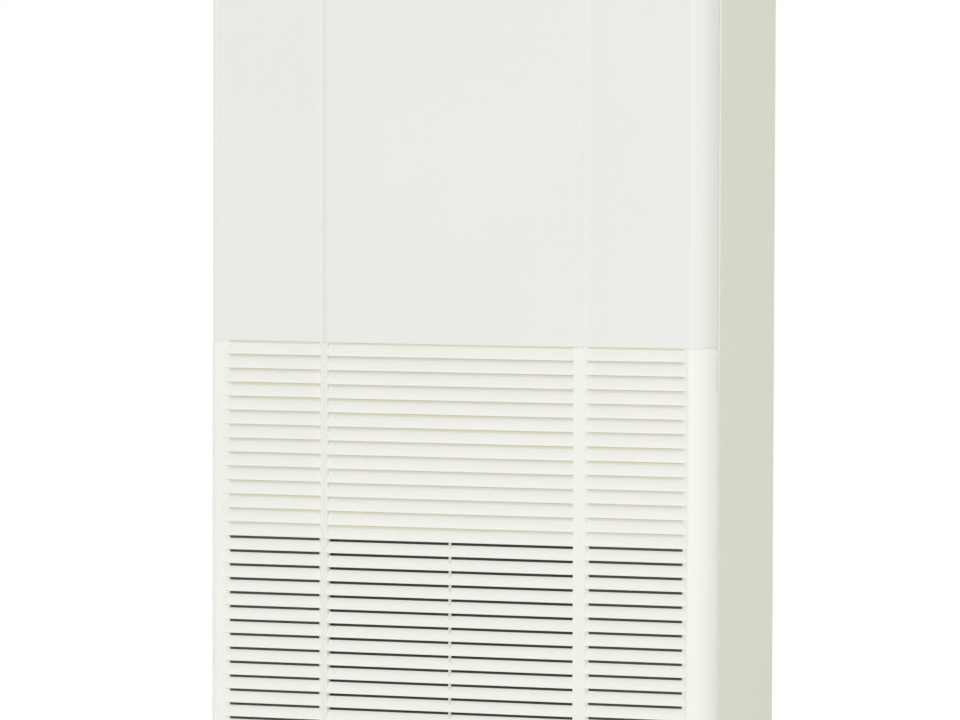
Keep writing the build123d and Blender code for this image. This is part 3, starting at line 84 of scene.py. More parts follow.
def slope(name, text, turn):
    """An angle setting, given in degrees."""
    return FloatProperty(name=name, description=text, default=radians(turn), subtype="ANGLE")


def number(name, text, default, least=1):
    """A whole number setting."""
    return IntProperty(name=name, description=text, default=default, min=least)


def level(name, text, default, least=0.0):
    """A setting of a lamp, the sky or the lens."""
    return FloatProperty(name=name, description=text, default=default, min=least)


class CabinetSettings(bpy.types.PropertyGroup):
    """Sizes of the cabinet's front and sides."""

    width: length("Width", "Overall width", 0.600)
    depth: length("Depth", "Overall depth", 0.270)
    raised_half: length("Raised half width", "Half width of the raised centre", 0.1465)
    step_width: length("Step width", "Width of each slanted step", 0.009)
    step_depth: length("Step depth", "How far the side faces lie behind the centre", 0.009)
    corner_width: length("Corner width", "Width of the rounded corner", 0.024)
    corner_depth: length("Corner depth", "Depth of the rounded corner", 0.038)
    corner_nose: length("Corner nose", "Radius at the front of the corner", 0.017)
    wall: length("Wall", "Thickness of the moulded fronts", 0.0025)
    sheet: length("Sheet", "Thickness of the sheet steel", 0.001)
    front_flange: length("Front flange", "Width of the side panels' front flange", 0.019)
    rear_flange: length("Rear flange", "Width of the side panels' rear flange", 0.016)
    reveal: length("Seam reveal", "How far the steel shows beside the upper panels", 0.0022)
    grille_reveal: length("Grille reveal", "How far the steel shows beside the grille", 0.0011)
    seam_drop: length("Seam drop", "How far the upper panel reaches down to the grille", 0.0005)
    edge: length("Edge rounding", "Radius of the moulded edges", 0.0006)
    corner_steps: number("Corner steps", "Faces round a corner", 28, 6)


class GrilleSettings(bpy.types.PropertyGroup):
    """Sizes of the intake grille."""

    bottom: length("Bottom", "Height of the grille's foot", 0.030)
    top: length("Top", "Height of the grille's top edge", 0.9393)
    seam: length("Seam height", "Height of the groove along the grille's top edge", 0.0020)
    seam_depth: length("Seam depth", "Depth of the groove along the grille's top edge", 0.0018)
    first_lip: length("First lip", "Height that the slats are counted from", 0.940)
    pitch: length("Slat pitch", "Distance from slat to slat", 0.01588)
    gap: length("Slot height", "Open height between two slats", 0.0034)
    recess: length("Recess", "How far the head of each slat is set in", 0.005)
    thickness: length("Slat thickness", "Thickness of a slat from front to back", 0.0024)
    lip: length("Lip height", "Upright edge at the foot of each slat", 0.0012)
    rows: number("Rows", "Number of slat rows", 53, 2)
    blind_rows: number("Blind rows", "Rows backed by a plate", 14, 0)


class LouvreSettings(bpy.types.PropertyGroup):
    """Sizes of the flaps and vanes in the discharge mouth."""

    flap_chord: length("Flap chord", "Width of a flap", 0.046)
    flap_thickness: length("Flap thickness", "Thickness of a flap", 0.0032)
    flap_tilt: slope("Flap tilt", "Slope of the flaps at rest", 12)
    vane_chord: length("Vane chord", "Width of a vane", 0.044)
    vane_thickness: length("Vane thickness", "Thickness of a vane", 0.002)
    pin: length("Pivot radius", "Radius of the pivot pins", 0.0025)
    crank_pin: length("Crank pin radius", "Radius of the pins that carry the links", 0.00144)
    flap_crank: length("Flap crank", "From a flap's pivot to its crank pin", 0.012)
    vane_crank: length("Vane crank", "From a vane's pivot to its crank pin", 0.014)
    link_width: length("Link width", "Width of the links", 0.008)


class FanSettings(bpy.types.PropertyGroup):
    """Sizes of the fan's blades."""

    blades: number("Blades", "Number of blades", 36, 3)
    radius: length("Blade tip radius", "Radius at the tips of the blades", 0.1595)
    eye: length("Blade root radius", "Radius at the roots of the blades", 0.135)
    thickness: length("Blade thickness", "Thickness of a blade", 0.0016)
    sweep: slope("Blade sweep", "How far each tip leads its root", 8)


class CoilSettings(bpy.types.PropertyGroup):
    """Sizes of the heat exchanger."""

    depth: length("Coil depth", "Thickness of the coil from front to back", 0.040)
    lean: slope("Coil lean", "How far the coil's top leans to the front", 14)
    rows: number("Bends", "Return bends in each row", 9)
    tube: length("Tube radius", "Radius of the copper tube", 0.00476)
    reach: length("Bend reach", "How far the bends stand out from the coil", 0.016)


class BackSettings(bpy.types.PropertyGroup):
    """Sizes of the rear panel and its screws."""

    bead_length: length("Bead length", "Length of a pressed bead", 0.430)
    bead_height: length("Bead height", "Height of a pressed bead", 0.016)
    bead_flank: length("Bead flank", "Width of a bead's sloping flank", 0.0028)
    beads: number("Beads", "Number of pressed beads", 6)
    screw_rows: number("Screw rows", "Screws down each side", 5, 2)
    screw_x: length("Screw place", "From the middle to the screws", 0.2915)
    screw_low: length("Lowest screw", "Height of the lowest screw", 0.100)
    screw_high: length("Highest screw", "Height of the highest screw", 1.780)
    head: length("Screw head radius", "Radius of a screw's head", 0.0038)
    knockout: length("Knock-out radius", "Radius of the pipe knock-out", 0.038)


class FinishSettings(bpy.types.PropertyGroup):
    """Main colours."""

    panel: colour("Front panels", "Colour of the moulded front panels", (0.856, 0.864, 0.832))
    grille: colour("Grille", "Colour of the intake grille", (0.922, 0.924, 0.872))
    # The backing colour is set darker and yellower than the grille's own moulding: it is painted shade in the
    # slots of the blind rows.
    backing: colour("Grille backing painted shade", "Colour of the plates behind the blind slats", (0.765, 0.760, 0.630))
    paint: colour("Cabinet paint", "Colour of the painted side and top panels", (0.790, 0.798, 0.672))
    net: colour("Filter net", "Colour of the air filter's net", (0.095, 0.096, 0.076))
    net_frame: colour("Filter frame", "Colour of the air filter's frame", (0.090, 0.091, 0.076))


class StageSettings(bpy.types.PropertyGroup):
    """Light and camera."""

    front_light: level("Front light", "Power of the front lamp", 247.0)
    side_light: level("Side light", "Power of the side lamp", 47.0)
    back_light: level("Back light", "Power of the lamp behind", 45.0)
    sky: level("Sky", "Strength of the even light all round", 0.42)
    focal_length: level("Focal length", "Lens in millimetres", 207.41, 10.0)


# ---------------------------------------------------------------- materials
bands_per_metre = 3.18  # bands that a wave texture lays over a metre at a scale of 1


def node_tree(name):
    """A new material with an empty tree, its output and its shader."""
    material = bpy.data.materials.new(name)
    material.use_nodes = True
    tree = material.node_tree
    tree.nodes.clear()
    output = tree.nodes.new("ShaderNodeOutputMaterial")
    shader = tree.nodes.new("ShaderNodeBsdfPrincipled")
    tree.links.new(shader.outputs["BSDF"], output.inputs["Surface"])
    return material, tree, shader


def object_coordinates(tree, scale=(1, 1, 1)):
    """Object coordinates in metres, stretched by scale."""
    coordinates = tree.nodes.new("ShaderNodeTexCoord")
    mapping = tree.nodes.new("ShaderNodeMapping")
    mapping.inputs["Scale"].default_value = scale
    tree.links.new(coordinates.outputs["Object"], mapping.inputs["Vector"])
    return mapping.outputs["Vector"]


def pattern(tree, kind, where, values):
    """A pattern texture on the given coordinates."""
    texture = tree.nodes.new(kind)
    for name, value in values.items():
        texture.inputs[name].default_value = value
    tree.links.new(where, texture.inputs["Vector"])
    return texture


def noise(tree, where, scale, detail=3.0):
    """A noise pattern's factor."""
    return pattern(tree, "ShaderNodeTexNoise", where, {"Scale": scale, "Detail": detail}).outputs["Fac"]


def bands(tree, where, direction, pitch, **more):
    """Straight bands at a pitch, side by side along one direction."""
    wave = pattern(tree, "ShaderNodeTexWave", where, {"Scale": 1.0 / (pitch * bands_per_metre), **more})
    wave.wave_type = "BANDS"
    wave.bands_direction = direction
    return wave


def combine(tree, operation, first, second):
    """The result of a Math node on two values, each a socket or a number."""
    node = tree.nodes.new("ShaderNodeMath")
    node.operation = operation
    for socket, value in zip(node.inputs, (first, second)):
        if isinstance(value, float):
            socket.default_value = value
        else:
            tree.links.new(value, socket)
    return node.outputs[0]


def base_colour(tree, shader, factor, low, high, low_at=0.3, high_at=0.7):
    """Base colour that runs between two colours."""
    node = tree.nodes.new("ShaderNodeValToRGB")
    for element, place, tint in zip(node.color_ramp.elements, (low_at, high_at), (low, high)):
        element.position = place
        element.color = (*tint, 1)
    tree.links.new(factor, node.inputs["Fac"])
    tree.links.new(node.outputs["Color"], shader.inputs["Base Color"])


def roughen(tree, shader, factor, low, high):
    """Roughness that runs between two values."""
    node = tree.nodes.new("ShaderNodeMapRange")
    node.inputs["To Min"].default_value = low
    node.inputs["To Max"].default_value = high
    tree.links.new(factor, node.inputs["Value"])
    tree.links.new(node.outputs["Result"], shader.inputs["Roughness"])


def bump(tree, shader, height, strength, distance):
    """Surface relief from a height factor."""
    node = tree.nodes.new("ShaderNodeBump")
    node.inputs["Strength"].default_value = strength
    node.inputs["Distance"].default_value = distance
    tree.links.new(height, node.inputs["Height"])
    tree.links.new(node.outputs["Normal"], shader.inputs["Normal"])


def shade(tint, factor):
    """A colour made lighter or darker."""
    return tuple(min(1.0, channel * factor) for channel in tint)


def moulded(name, tint, roughness, grain=1400.0, relief=0.10, drift=0.012):
    """Moulded plastic: even colour with a slight drift, and a fine spark-eroded grain."""
    material, tree, shader = node_tree(name)
    where = object_coordinates(tree)
    cloud = noise(tree, where, 3.0, 2.0)
    base_colour(tree, shader, cloud, shade(tint, 1 - drift), shade(tint, 1 + drift))
    speck = noise(tree, where, grain, 2.0)
    roughen(tree, shader, speck, roughness - 0.05, roughness + 0.05)
    bump(tree, shader, speck, relief, 0.00012)
    shader.inputs["IOR"].default_value = 1.48
    return material


def painted(name, tint, roughness, relief=0.12):
    """Baked paint on sheet steel, with its soft orange peel."""
    material, tree, shader = node_tree(name)
    where = object_coordinates(tree)
    base_colour(tree, shader, noise(tree, where, 4.0, 2.0), shade(tint, 0.988), shade(tint, 1.012))
    peel = noise(tree, where, 420.0, 2.0)
    roughen(tree, shader, peel, roughness - 0.04, roughness + 0.06)
    bump(tree, shader, peel, relief, 0.0002)
    shader.inputs["IOR"].default_value = 1.5
    return material


def zinc(name, tint):
    """Hot-dipped sheet with its crystal spangle."""
    material, tree, shader = node_tree(name)
    where = object_coordinates(tree)
    crystals = pattern(tree, "ShaderNodeTexVoronoi", where, {"Scale": 210.0})
    grey = tree.nodes.new("ShaderNodeRGBToBW")
    tree.links.new(crystals.outputs["Color"], grey.inputs["Color"])
    spangle = grey.outputs["Val"]
    base_colour(tree, shader, spangle, shade(tint, 0.92), shade(tint, 1.06), 0.1, 0.9)
    roughen(tree, shader, spangle, 0.54, 0.64)
    bump(tree, shader, noise(tree, where, 900.0), 0.08, 0.0001)
    shader.inputs["Metallic"].default_value = 1.0
    return material


def machined(name, tint, roughness, stretch=(60, 60, 1500)):
    """Turned, drawn or rolled metal with fine lines along one direction."""
    material, tree, shader = node_tree(name)
    lines = noise(tree, object_coordinates(tree, stretch), 1.0, 4.0)
    base_colour(tree, shader, lines, shade(tint, 0.85), shade(tint, 1.1))
    roughen(tree, shader, lines, roughness - 0.08, roughness + 0.12)
    bump(tree, shader, lines, 0.12, 0.00008)
    shader.inputs["Metallic"].default_value = 1.0
    return material


def finned(name, tint, pitch):
    """Coil face: upright aluminium fins at a close pitch, with a few bent ones, and painted shade in the dark
    gaps between them.
    """
    material, tree, shader = node_tree(name)
    where = object_coordinates(tree)
    fins = bands(tree, where, "X", pitch, **{"Distortion": 0.4, "Detail Scale": 30.0}).outputs["Fac"]
    # the dark bands between the fins are painted shade of the gaps, not a colour of the aluminium
    base_colour(tree, shader, fins, shade(tint, 0.10), shade(tint, 0.95), 0.25, 0.75)
    roughen(tree, shader, noise(tree, where, 60.0), 0.3, 0.45)
    bump(tree, shader, fins, 0.6, 0.0008)
    shader.inputs["Metallic"].default_value = 0.85
    return material


def netting(name, tint, pitch):
    """Fine woven net: crossing threads over a darker ground."""
    material, tree, shader = node_tree(name)
    where = object_coordinates(tree)
    threads = [bands(tree, where, direction, pitch).outputs["Fac"] for direction in ("X", "Z")]
    weave = combine(tree, "MAXIMUM", *threads)
    base_colour(tree, shader, weave, shade(tint, 0.3), shade(tint, 1.6))
    roughen(tree, shader, noise(tree, where, 40.0), 0.7, 0.85)
    bump(tree, shader, weave, 0.7, 0.0004)
    return material


def foam(name, tint):
    """Expanded foam: packed beads with shallow seams between them."""
    material, tree, shader = node_tree(name)
    where = object_coordinates(tree)
    beads = pattern(tree, "ShaderNodeTexVoronoi", where, {"Scale": 260.0}).outputs["Distance"]
    base_colour(tree, shader, beads, shade(tint, 1.02), shade(tint, 0.90), 0.2, 0.8)
    roughen(tree, shader, noise(tree, where, 90.0), 0.75, 0.9)
    bump(tree, shader, beads, 0.35, -0.0006)
    return material


def circuit(name, tint):
    """Green board with faint lighter tracks."""
    material, tree, shader = node_tree(name)
    where = object_coordinates(tree)
    upright = tree.nodes.new("ShaderNodeMapping")
    upright.inputs["Rotation"].default_value = (pi / 2, 0, 0)
    tree.links.new(where, upright.inputs["Vector"])
    tints = {"Color1": (*tint, 1), "Color2": (*shade(tint, 0.8), 1), "Mortar": (*shade(tint, 1.9), 1)}
    sizes = {"Scale": 60.0, "Mortar Size": 0.03}
    tracks = pattern(tree, "ShaderNodeTexBrick", upright.outputs["Vector"], {**sizes, **tints})
    tree.links.new(tracks.outputs["Color"], shader.inputs["Base Color"])
    roughen(tree, shader, noise(tree, where, 200.0), 0.3, 0.5)
    bump(tree, shader, tracks.outputs["Fac"], 0.2, 0.0001)
    return material


def window_glass(name, tint):
    """Clear moulded window over the display."""
    material, tree, shader = node_tree(name)
    cloud = noise(tree, object_coordinates(tree), 30.0)
    base_colour(tree, shader, cloud, shade(tint, 0.95), shade(tint, 1.05))
    roughen(tree, shader, cloud, 0.05, 0.09)
    shader.inputs["Transmission Weight"].default_value = 0.35
    shader.inputs["IOR"].default_value = 1.49
    return material


makers = {
    "panel_white": lambda n, c: moulded(n, c, 0.42, relief=0.06),
    "grille_white": lambda n, c: moulded(n, c, 0.42, relief=0.06),
    # darker, yellower plates behind the blind rows: painted shade in their slots
    "grille_backing": lambda n, c: moulded(n, c, 0.5, relief=0.06),
    "cabinet_paint": lambda n, c: painted(n, c, 0.40),
    "zinc_steel": zinc,
    "bright_steel": lambda n, c: machined(n, c, 0.28),
    "filter_plastic": lambda n, c: moulded(n, c, 0.55, drift=0.05),
    "filter_mesh": lambda n, c: netting(n, c, 0.0012),
    "fan_plastic": lambda n, c: moulded(n, c, 0.5, drift=0.04),
    "motor_paint": lambda n, c: painted(n, c, 0.45),
    "rubber": lambda n, c: moulded(n, c, 0.75, relief=0.25, drift=0.1),
    "fin_aluminium": lambda n, c: finned(n, c, 0.0016),
    "copper": lambda n, c: machined(n, c, 0.3, (900, 900, 40)),
    "brass": lambda n, c: machined(n, c, 0.28, (300, 300, 1200)),
    "pan_plastic": lambda n, c: moulded(n, c, 0.6, drift=0.04),
    "foam": foam,
    "louvre_plastic": lambda n, c: moulded(n, c, 0.48),
    "board_green": circuit,
    "terminal_black": lambda n, c: moulded(n, c, 0.4, drift=0.06),
    "controller_plastic": lambda n, c: moulded(n, c, 0.40),
    "display": window_glass,
    "key_grey": lambda n, c: moulded(n, c, 0.6, drift=0.03),
}
finished = {}


def finish_for(slot):
    """The material of a slot, made once."""
    if slot not in finished:
        colours = bpy.context.scene.ac_finish
        chosen = {
            "panel_white": colours.panel,
            "grille_white": colours.grille,
            "grille_backing": colours.backing,
            "cabinet_paint": colours.paint,
            "filter_mesh": colours.net,
            "filter_plastic": colours.net_frame,
        }
        finished[slot] = makers[slot](slot, tuple(chosen[slot] if slot in chosen else colour_of[slot]))
    return finished[slot]


# ---------------------------------------------------------------- mesh helpers
past = 0.001  # how far a cutting tool reaches beyond what it cuts
through = 0.01  # the same for a tool that runs right through the front
behind = 0.001  # how far hidden bodies start behind the front's face
tuck = 0.0003  # how far a piece reaches into the one that it joins


def mesh_object(name, bm):
    """An object in the scene from a bmesh, its faces turned outwards."""
    bmesh.ops.recalc_face_normals(bm, faces=bm.faces)
    mesh = bpy.data.meshes.new(name)
    bm.to_mesh(mesh)
    bm.free()
    made = bpy.data.objects.new(name, mesh)
    bpy.context.scene.collection.objects.link(made)
    return made


def loft(bm, lower, upper):
    """A closed body between two outlines with as many points."""
    lower = [bm.verts.new(point) for point in lower]
    upper = [bm.verts.new(point) for point in upper]
    bm.faces.new(lower[::-1])
    bm.faces.new(upper)
    for i in range(len(lower)):
        j = (i + 1) % len(lower)
        bm.faces.new((lower[i], lower[j], upper[j], upper[i]))


def prism(bm, outline, low, high, axis="Z"):
    """A closed outline carried along one axis. Its points hold the other two places in order."""
    at = "XYZ".index(axis)
    loft(bm, *([(*point[:at], along, *point[at:]) for point in outline] for along in (low, high)))


def prism_object(name, outline, low, high, axis="Z"):
    """A prism as an object of its own."""
    bm = bmesh.new()
    prism(bm, outline, low, high, axis)
    return mesh_object(name, bm)


def slab(bm, x, y, z):
    """A straight-sided block between two places on each axis."""
    x, y, z = sorted(x), sorted(y), sorted(z)
    prism(bm, [(x[0], y[0]), (x[1], y[0]), (x[1], y[1]), (x[0], y[1])], z[0], z[1])


def slab_object(name, x, y, z):
    """A block as an object of its own."""
    bm = bmesh.new()
    slab(bm, x, y, z)
    return mesh_object(name, bm)


def cut(target, tool, operation="DIFFERENCE"):
    """Cut a tool from a target, or fuse them, and drop the tool."""
    modifier = target.modifiers.new("Cut", "BOOLEAN")
    modifier.object = tool
    modifier.operation = operation
    modifier.solver = "EXACT"
    settle(target)
    bpy.data.objects.remove(tool)


def settle(target):
    """Carry out an object's modifiers."""
    depsgraph = bpy.context.evaluated_depsgraph_get()
    mesh = bpy.data.meshes.new_from_object(target.evaluated_get(depsgraph), depsgraph=depsgraph)
    target.modifiers.clear()
    old = target.data
    target.data = mesh
    bpy.data.meshes.remove(old)


def round_edges(target, width, segments=2, limit=32.0):
    """Round an object's sharp edges and shade it smooth."""
    bevel = target.modifiers.new("Round", "BEVEL")
    bevel.width = width
    bevel.segments = segments
    bevel.limit_method = "ANGLE"
    bevel.angle_limit = radians(limit)
    bevel.use_clamp_overlap = True
    settle(target)
    smooth(target)
    weigh_normals(target)


def smooth(target, limit=35.0):
    """Smooth shading with sharp edges above a limit."""
    for polygon in target.data.polygons:
        polygon.use_smooth = True
    target.data.set_sharp_from_angle(angle=radians(limit))


def weigh_normals(target):
    """Let the large faces lead the shading, so that flats stay flat beside round edges."""
    target.modifiers.new("Weighted", "WEIGHTED_NORMAL").keep_sharp = True
    settle(target)


def dress(target, body, slot, *nodes, finish=None):
    """Give a finished piece its material, its body and the nodes that it stands for."""
    target.data.materials.clear()
    target.data.materials.append(finish_for(finish or slot))
    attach(target, body)
    if nodes:
        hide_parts(*nodes)
    return target


def wider(ends, margin):
    """Two places moved apart by a margin each."""
    return ends[0] - margin, ends[1] + margin


def face_places():
    """Where the raised centre's face lies from front to back, and where the side faces do."""
    c = bpy.context.scene.ac_cabinet
    front = -c.depth / 2
    return front, front + c.step_depth


def mitre(inset):
    """How far the 45 degree bends of the steps shift in a path that is set in from the face."""
    return inset * tan(radians(45) / 2)


def front_path(inset, back_y):
    """Plan path of the front from the left return to the right one."""
    c = bpy.context.scene.ac_cabinet
    half = c.width / 2
    front, side_front = face_places()
    shift = mitre(inset)
    wide, deep, nose = c.corner_width, c.corner_depth, c.corner_nose
    flank = (wide**2 + deep**2 - 2 * deep * nose) / (2 * (wide - nose))
    join = atan2(flank - wide, deep - nose)
    right = []
    for centre, radius, start, end in (
        ((half - wide, side_front + nose), nose - inset, 0.0, join),
        ((half - flank, side_front + deep), flank - inset, join, pi / 2),
    ):
        steps = c.corner_steps // 2
        turns = [start + (end - start) * i / steps for i in range(steps + 1)]
        right += [(centre[0] + radius * sin(t), centre[1] - radius * cos(t)) for t in turns[len(right) > 0 :]]
    flat = [
        (c.raised_half - shift, front + inset),
        (c.raised_half + c.step_width - shift, side_front + inset),
    ]
    half_path = flat + right
    if back_y > right[-1][1]:
        half_path.append((half - inset, back_y))
    return [(-x, y) for x, y in reversed(half_path)] + half_path


def face_path(half):
    """Plan path just behind the stepped face, between two places on the side faces."""
    c = bpy.context.scene.ac_cabinet
    inset = 0.0004
    front, side_front = face_places()
    right = [
        (c.raised_half - inset, front + behind),
        (c.raised_half + c.step_width - inset, side_front + behind),
        (half, side_front + behind),
    ]
    return [(-x, y) for x, y in reversed(right)] + right


def shell_outline(back_y, wall):
    """Closed plan outline of an open-backed moulded front."""
    return front_path(0, back_y) + front_path(wall, back_y)[::-1]


def pull_in(target, reveal):
    """Draw the flanks of a moulded front in from the full width, so that the steel behind shows."""
    c = bpy.context.scene.ac_cabinet
    start = c.width / 2 - c.corner_width
    for vertex in target.data.vertices:
        beyond = abs(vertex.co.x) - start
        if beyond > 0:
            vertex.co.x -= (1 if vertex.co.x > 0 else -1) * beyond / c.corner_width * reveal


def screw_heights():
    """Heights of the cabinet's screws."""
    b = bpy.context.scene.ac_back
    step = (b.screw_high - b.screw_low) / (b.screw_rows - 1)
    return [b.screw_low + i * step for i in range(b.screw_rows)]


def sheet_outline(points, thickness, radius, steps=5):
    """Closed outline of sheet folded along points, its bends rounded on both faces."""
    points = [Vector(p) for p in points]
    outer = [points[0]]
    ways = [(b - a).normalized() for a, b in zip(points, points[1:])]
    normals = [Vector((-way.y, way.x)) for way in ways]
    inner = [points[0] + normals[0] * thickness]
    for corner, before, after, n0, n1 in zip(points[1:-1], ways, ways[1:], normals, normals[1:]):
        turn = before.x * after.y - before.y * after.x
        centre = corner + (n0 + n1) * radius if turn > 0 else corner - (n0 + n1) * radius
        for i in range(steps + 1):
            blend = i / steps * pi / 2
            normal = (n0 * cos(blend) + n1 * sin(blend)) * (1 if turn > 0 else -1)
            outer.append(centre - normal * radius)
            reach = radius - thickness if turn > 0 else radius + thickness
            inner.append(centre - normal * reach)
    outer.append(points[-1])
    inner.append(points[-1] + normals[-1] * thickness)
    return [tuple(p) for p in outer + inner[::-1]]


def capsule(centre, length_, width, turn, steps=8):
    """Outline of a bar with round ends, turned about its middle."""
    radius = width / 2
    reach = length_ / 2 - radius
    points = []
    for end, start in ((reach, -pi / 2), (-reach, pi / 2)):
        for i in range(steps + 1):
            angle = start + pi * i / steps
            across, up = end + radius * cos(angle), radius * sin(angle)
            points.append(
                (
                    centre[0] + across * cos(turn) - up * sin(turn),
                    centre[1] + across * sin(turn) + up * cos(turn),
                )
            )
    return points


def rod(bm, start, end, radius, segments=24):
    """A closed round bar between two points."""
    start, end = Vector(start), Vector(end)
    along = end - start
    turn = along.to_track_quat("Z", "Y").to_matrix().to_4x4()
    place = Matrix.Translation((start + end) / 2) @ turn
    bmesh.ops.create_cone(
        bm, cap_ends=True, segments=segments, radius1=radius, radius2=radius, depth=along.length, matrix=place
    )


def rods_object(name, *rods):
    """Round bars as one object, each given as rod takes it."""
    bm = bmesh.new()
    for bar in rods:
        rod(bm, *bar)
    return mesh_object(name, bm)


def add_rods(target, *rods):
    """Add round bars to a piece's mesh."""
    bm = bmesh.new()
    bm.from_mesh(target.data)
    for bar in rods:
        rod(bm, *bar)
    bm.to_mesh(target.data)
    bm.free()


def merged_copy(node):
    """A copy of a carried-over piece's mesh, its triangles joined into whole faces."""
    bm = bmesh.new()
    bm.from_mesh(frame["nodes"][node].data)
    bmesh.ops.remove_doubles(bm, verts=bm.verts, dist=0.000002)
    bmesh.ops.dissolve_limit(bm, angle_limit=radians(1.0), verts=bm.verts, edges=bm.edges)
    return bm


def softened(node, width, segments=2):
    """A carried-over piece with its edges rounded, as a piece of its own."""
    made = mesh_object(f"{node}_finished", merged_copy(node))
    round_edges(made, width, segments)
    return dress(made, body_of[node], slot_of[node], node)


# ---------------------------------------------------------------- pieces
class AC_OT_front_panels(bpy.types.Operator):
    """Make the plain upper panel and the outlet panel with its mouth and controller pocket."""

    bl_idname = "ac.front_panels"
    bl_label = "Front Panels"

    def execute(self, context):
        c = context.scene.ac_cabinet
        low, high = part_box("upper_front_panel")
        back_y = high.y
        foot = low.z - c.seam_drop
        rib, rib_pitch = 0.002, 0.148
        tray_back, flange_width = 0.002, 0.012
        panel = prism_object("upper_panel", shell_outline(back_y, c.wall), foot, high.z)
        for z, thick in (
            (foot, c.wall),
            (low.z + rib_pitch, rib),
            (low.z + 2 * rib_pitch, rib),
            (high.z - c.wall, c.wall),
        ):
            tray = prism_object("tray", front_path(c.wall / 2, back_y - tray_back), z, z + thick)
            inside = front_path(flange_width, back_y + through)
            cut(tray, prism_object("hole", inside, *wider((z, z + thick), past)))
            cut(panel, tray, "UNION")
        self.close(panel, "upper_front_panel")

        low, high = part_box("outlet_panel")
        front, side_front = face_places()
        mouth_half, mouth_z = 0.235, (1.546, 1.804)
        panel = prism_object("outlet_front", shell_outline(back_y, c.wall), low.z, high.z)
        rim = mouth_half + c.wall
        outline = [(-rim, side_front + c.wall), *face_path(rim), (rim, side_front + c.wall)]
        cut(panel, prism_object("rim", outline, *wider(mouth_z, c.wall)), "UNION")
        across_y = (front - through, back_y + through)
        cut(panel, slab_object("mouth", (-mouth_half, mouth_half), across_y, mouth_z))
        case_low, case_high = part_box("controller_case")
        play, floor_play, pocket_wall = 0.001, 0.0003, 0.002
        pocket_x = wider((case_low.x, case_high.x), play)
        pocket_z = wider((case_low.z, case_high.z), play)
        floor = case_high.y + floor_play
        walls_x, walls_z = wider(pocket_x, pocket_wall), wider(pocket_z, pocket_wall)
        walls_y = (front + behind, floor + pocket_wall)
        cut(panel, slab_object("box", walls_x, walls_y, walls_z), "UNION")
        cut(panel, slab_object("pocket", pocket_x, (front - through, floor), pocket_z))
        self.close(panel, "outlet_panel")
        return {"FINISHED"}

    @staticmethod
    def close(panel, node):
        """Set a panel's flanks in, round its edges and give it its finish."""
        c = bpy.context.scene.ac_cabinet
        pull_in(panel, c.reveal)
        round_edges(panel, c.edge)
        dress(panel, "cabinet", "panel_white", node)


def repeat_tree(name, vector):
    """A tree that puts a piece on each point of a line, with one vector input of its own.

    Returns the tree, its input keys, and the nodes that row_tree and ring_tree complete.
    """
    tree = bpy.data.node_groups.new(name, "GeometryNodeTree")
    kinds = {"Piece": "Geometry", "Count": "Int", vector: "Vector", "Finish": "Material"}
    keys = {}
    for key, kind in kinds.items():
        socket = tree.interface.new_socket(key, in_out="INPUT", socket_type=f"NodeSocket{kind}")
        keys[key.lower()] = socket.identifier
    tree.interface.new_socket(name, in_out="OUTPUT", socket_type="NodeSocketGeometry")
    nodes = tree.nodes
    given = nodes.new("NodeGroupInput")
    result = nodes.new("NodeGroupOutput")
    line = nodes.new("GeometryNodeMeshLine")
    line.mode = "OFFSET"
    place = nodes.new("GeometryNodeInstanceOnPoints")
    real = nodes.new("GeometryNodeRealizeInstances")
    paint = nodes.new("GeometryNodeSetMaterial")
    for source, output, target, entry in (
        (given, "Count", line, "Count"),
        (line, "Mesh", place, "Points"),
        (given, "Piece", place, "Instance"),
        (place, "Instances", real, "Geometry"),
        (real, "Geometry", paint, "Geometry"),
        (given, "Finish", paint, "Material"),
        (paint, "Geometry", result, name),
    ):
        tree.links.new(source.outputs[output], target.inputs[entry])
    return tree, keys, given, line, place


def row_tree():
    """Geometry Nodes tree that repeats a piece along a straight row."""
    tree, keys, given, line, _ = repeat_tree("Row", "Step")
    tree.links.new(given.outputs["Step"], line.inputs["Offset"])
    return tree, keys


def ring_tree():
    """Geometry Nodes tree that repeats a piece round an upright ring that faces the front."""
    tree, keys, given, line, place = repeat_tree("Ring", "Centre")
    line.inputs["Offset"].default_value = (0, 0, 0)
    tree.links.new(given.outputs["Centre"], line.inputs["Start Location"])
    index = tree.nodes.new("GeometryNodeInputIndex")
    share = combine(tree, "DIVIDE", index.outputs[0], given.outputs["Count"])
    spin = tree.nodes.new("ShaderNodeCombineXYZ")
    tree.links.new(combine(tree, "MULTIPLY", share, 2 * pi), spin.inputs["Y"])
    tree.links.new(spin.outputs[0], place.inputs["Rotation"])
    return tree, keys


def repeat(piece, made, **values):
    """Run a repeating tree on a piece and keep the result as its mesh."""
    tree, keys = made
    modifier = piece.modifiers.new("Repeat", "NODES")
    modifier.node_group = tree
    for name, value in values.items():
        modifier[keys[name]] = value
    settle(piece)
    return piece


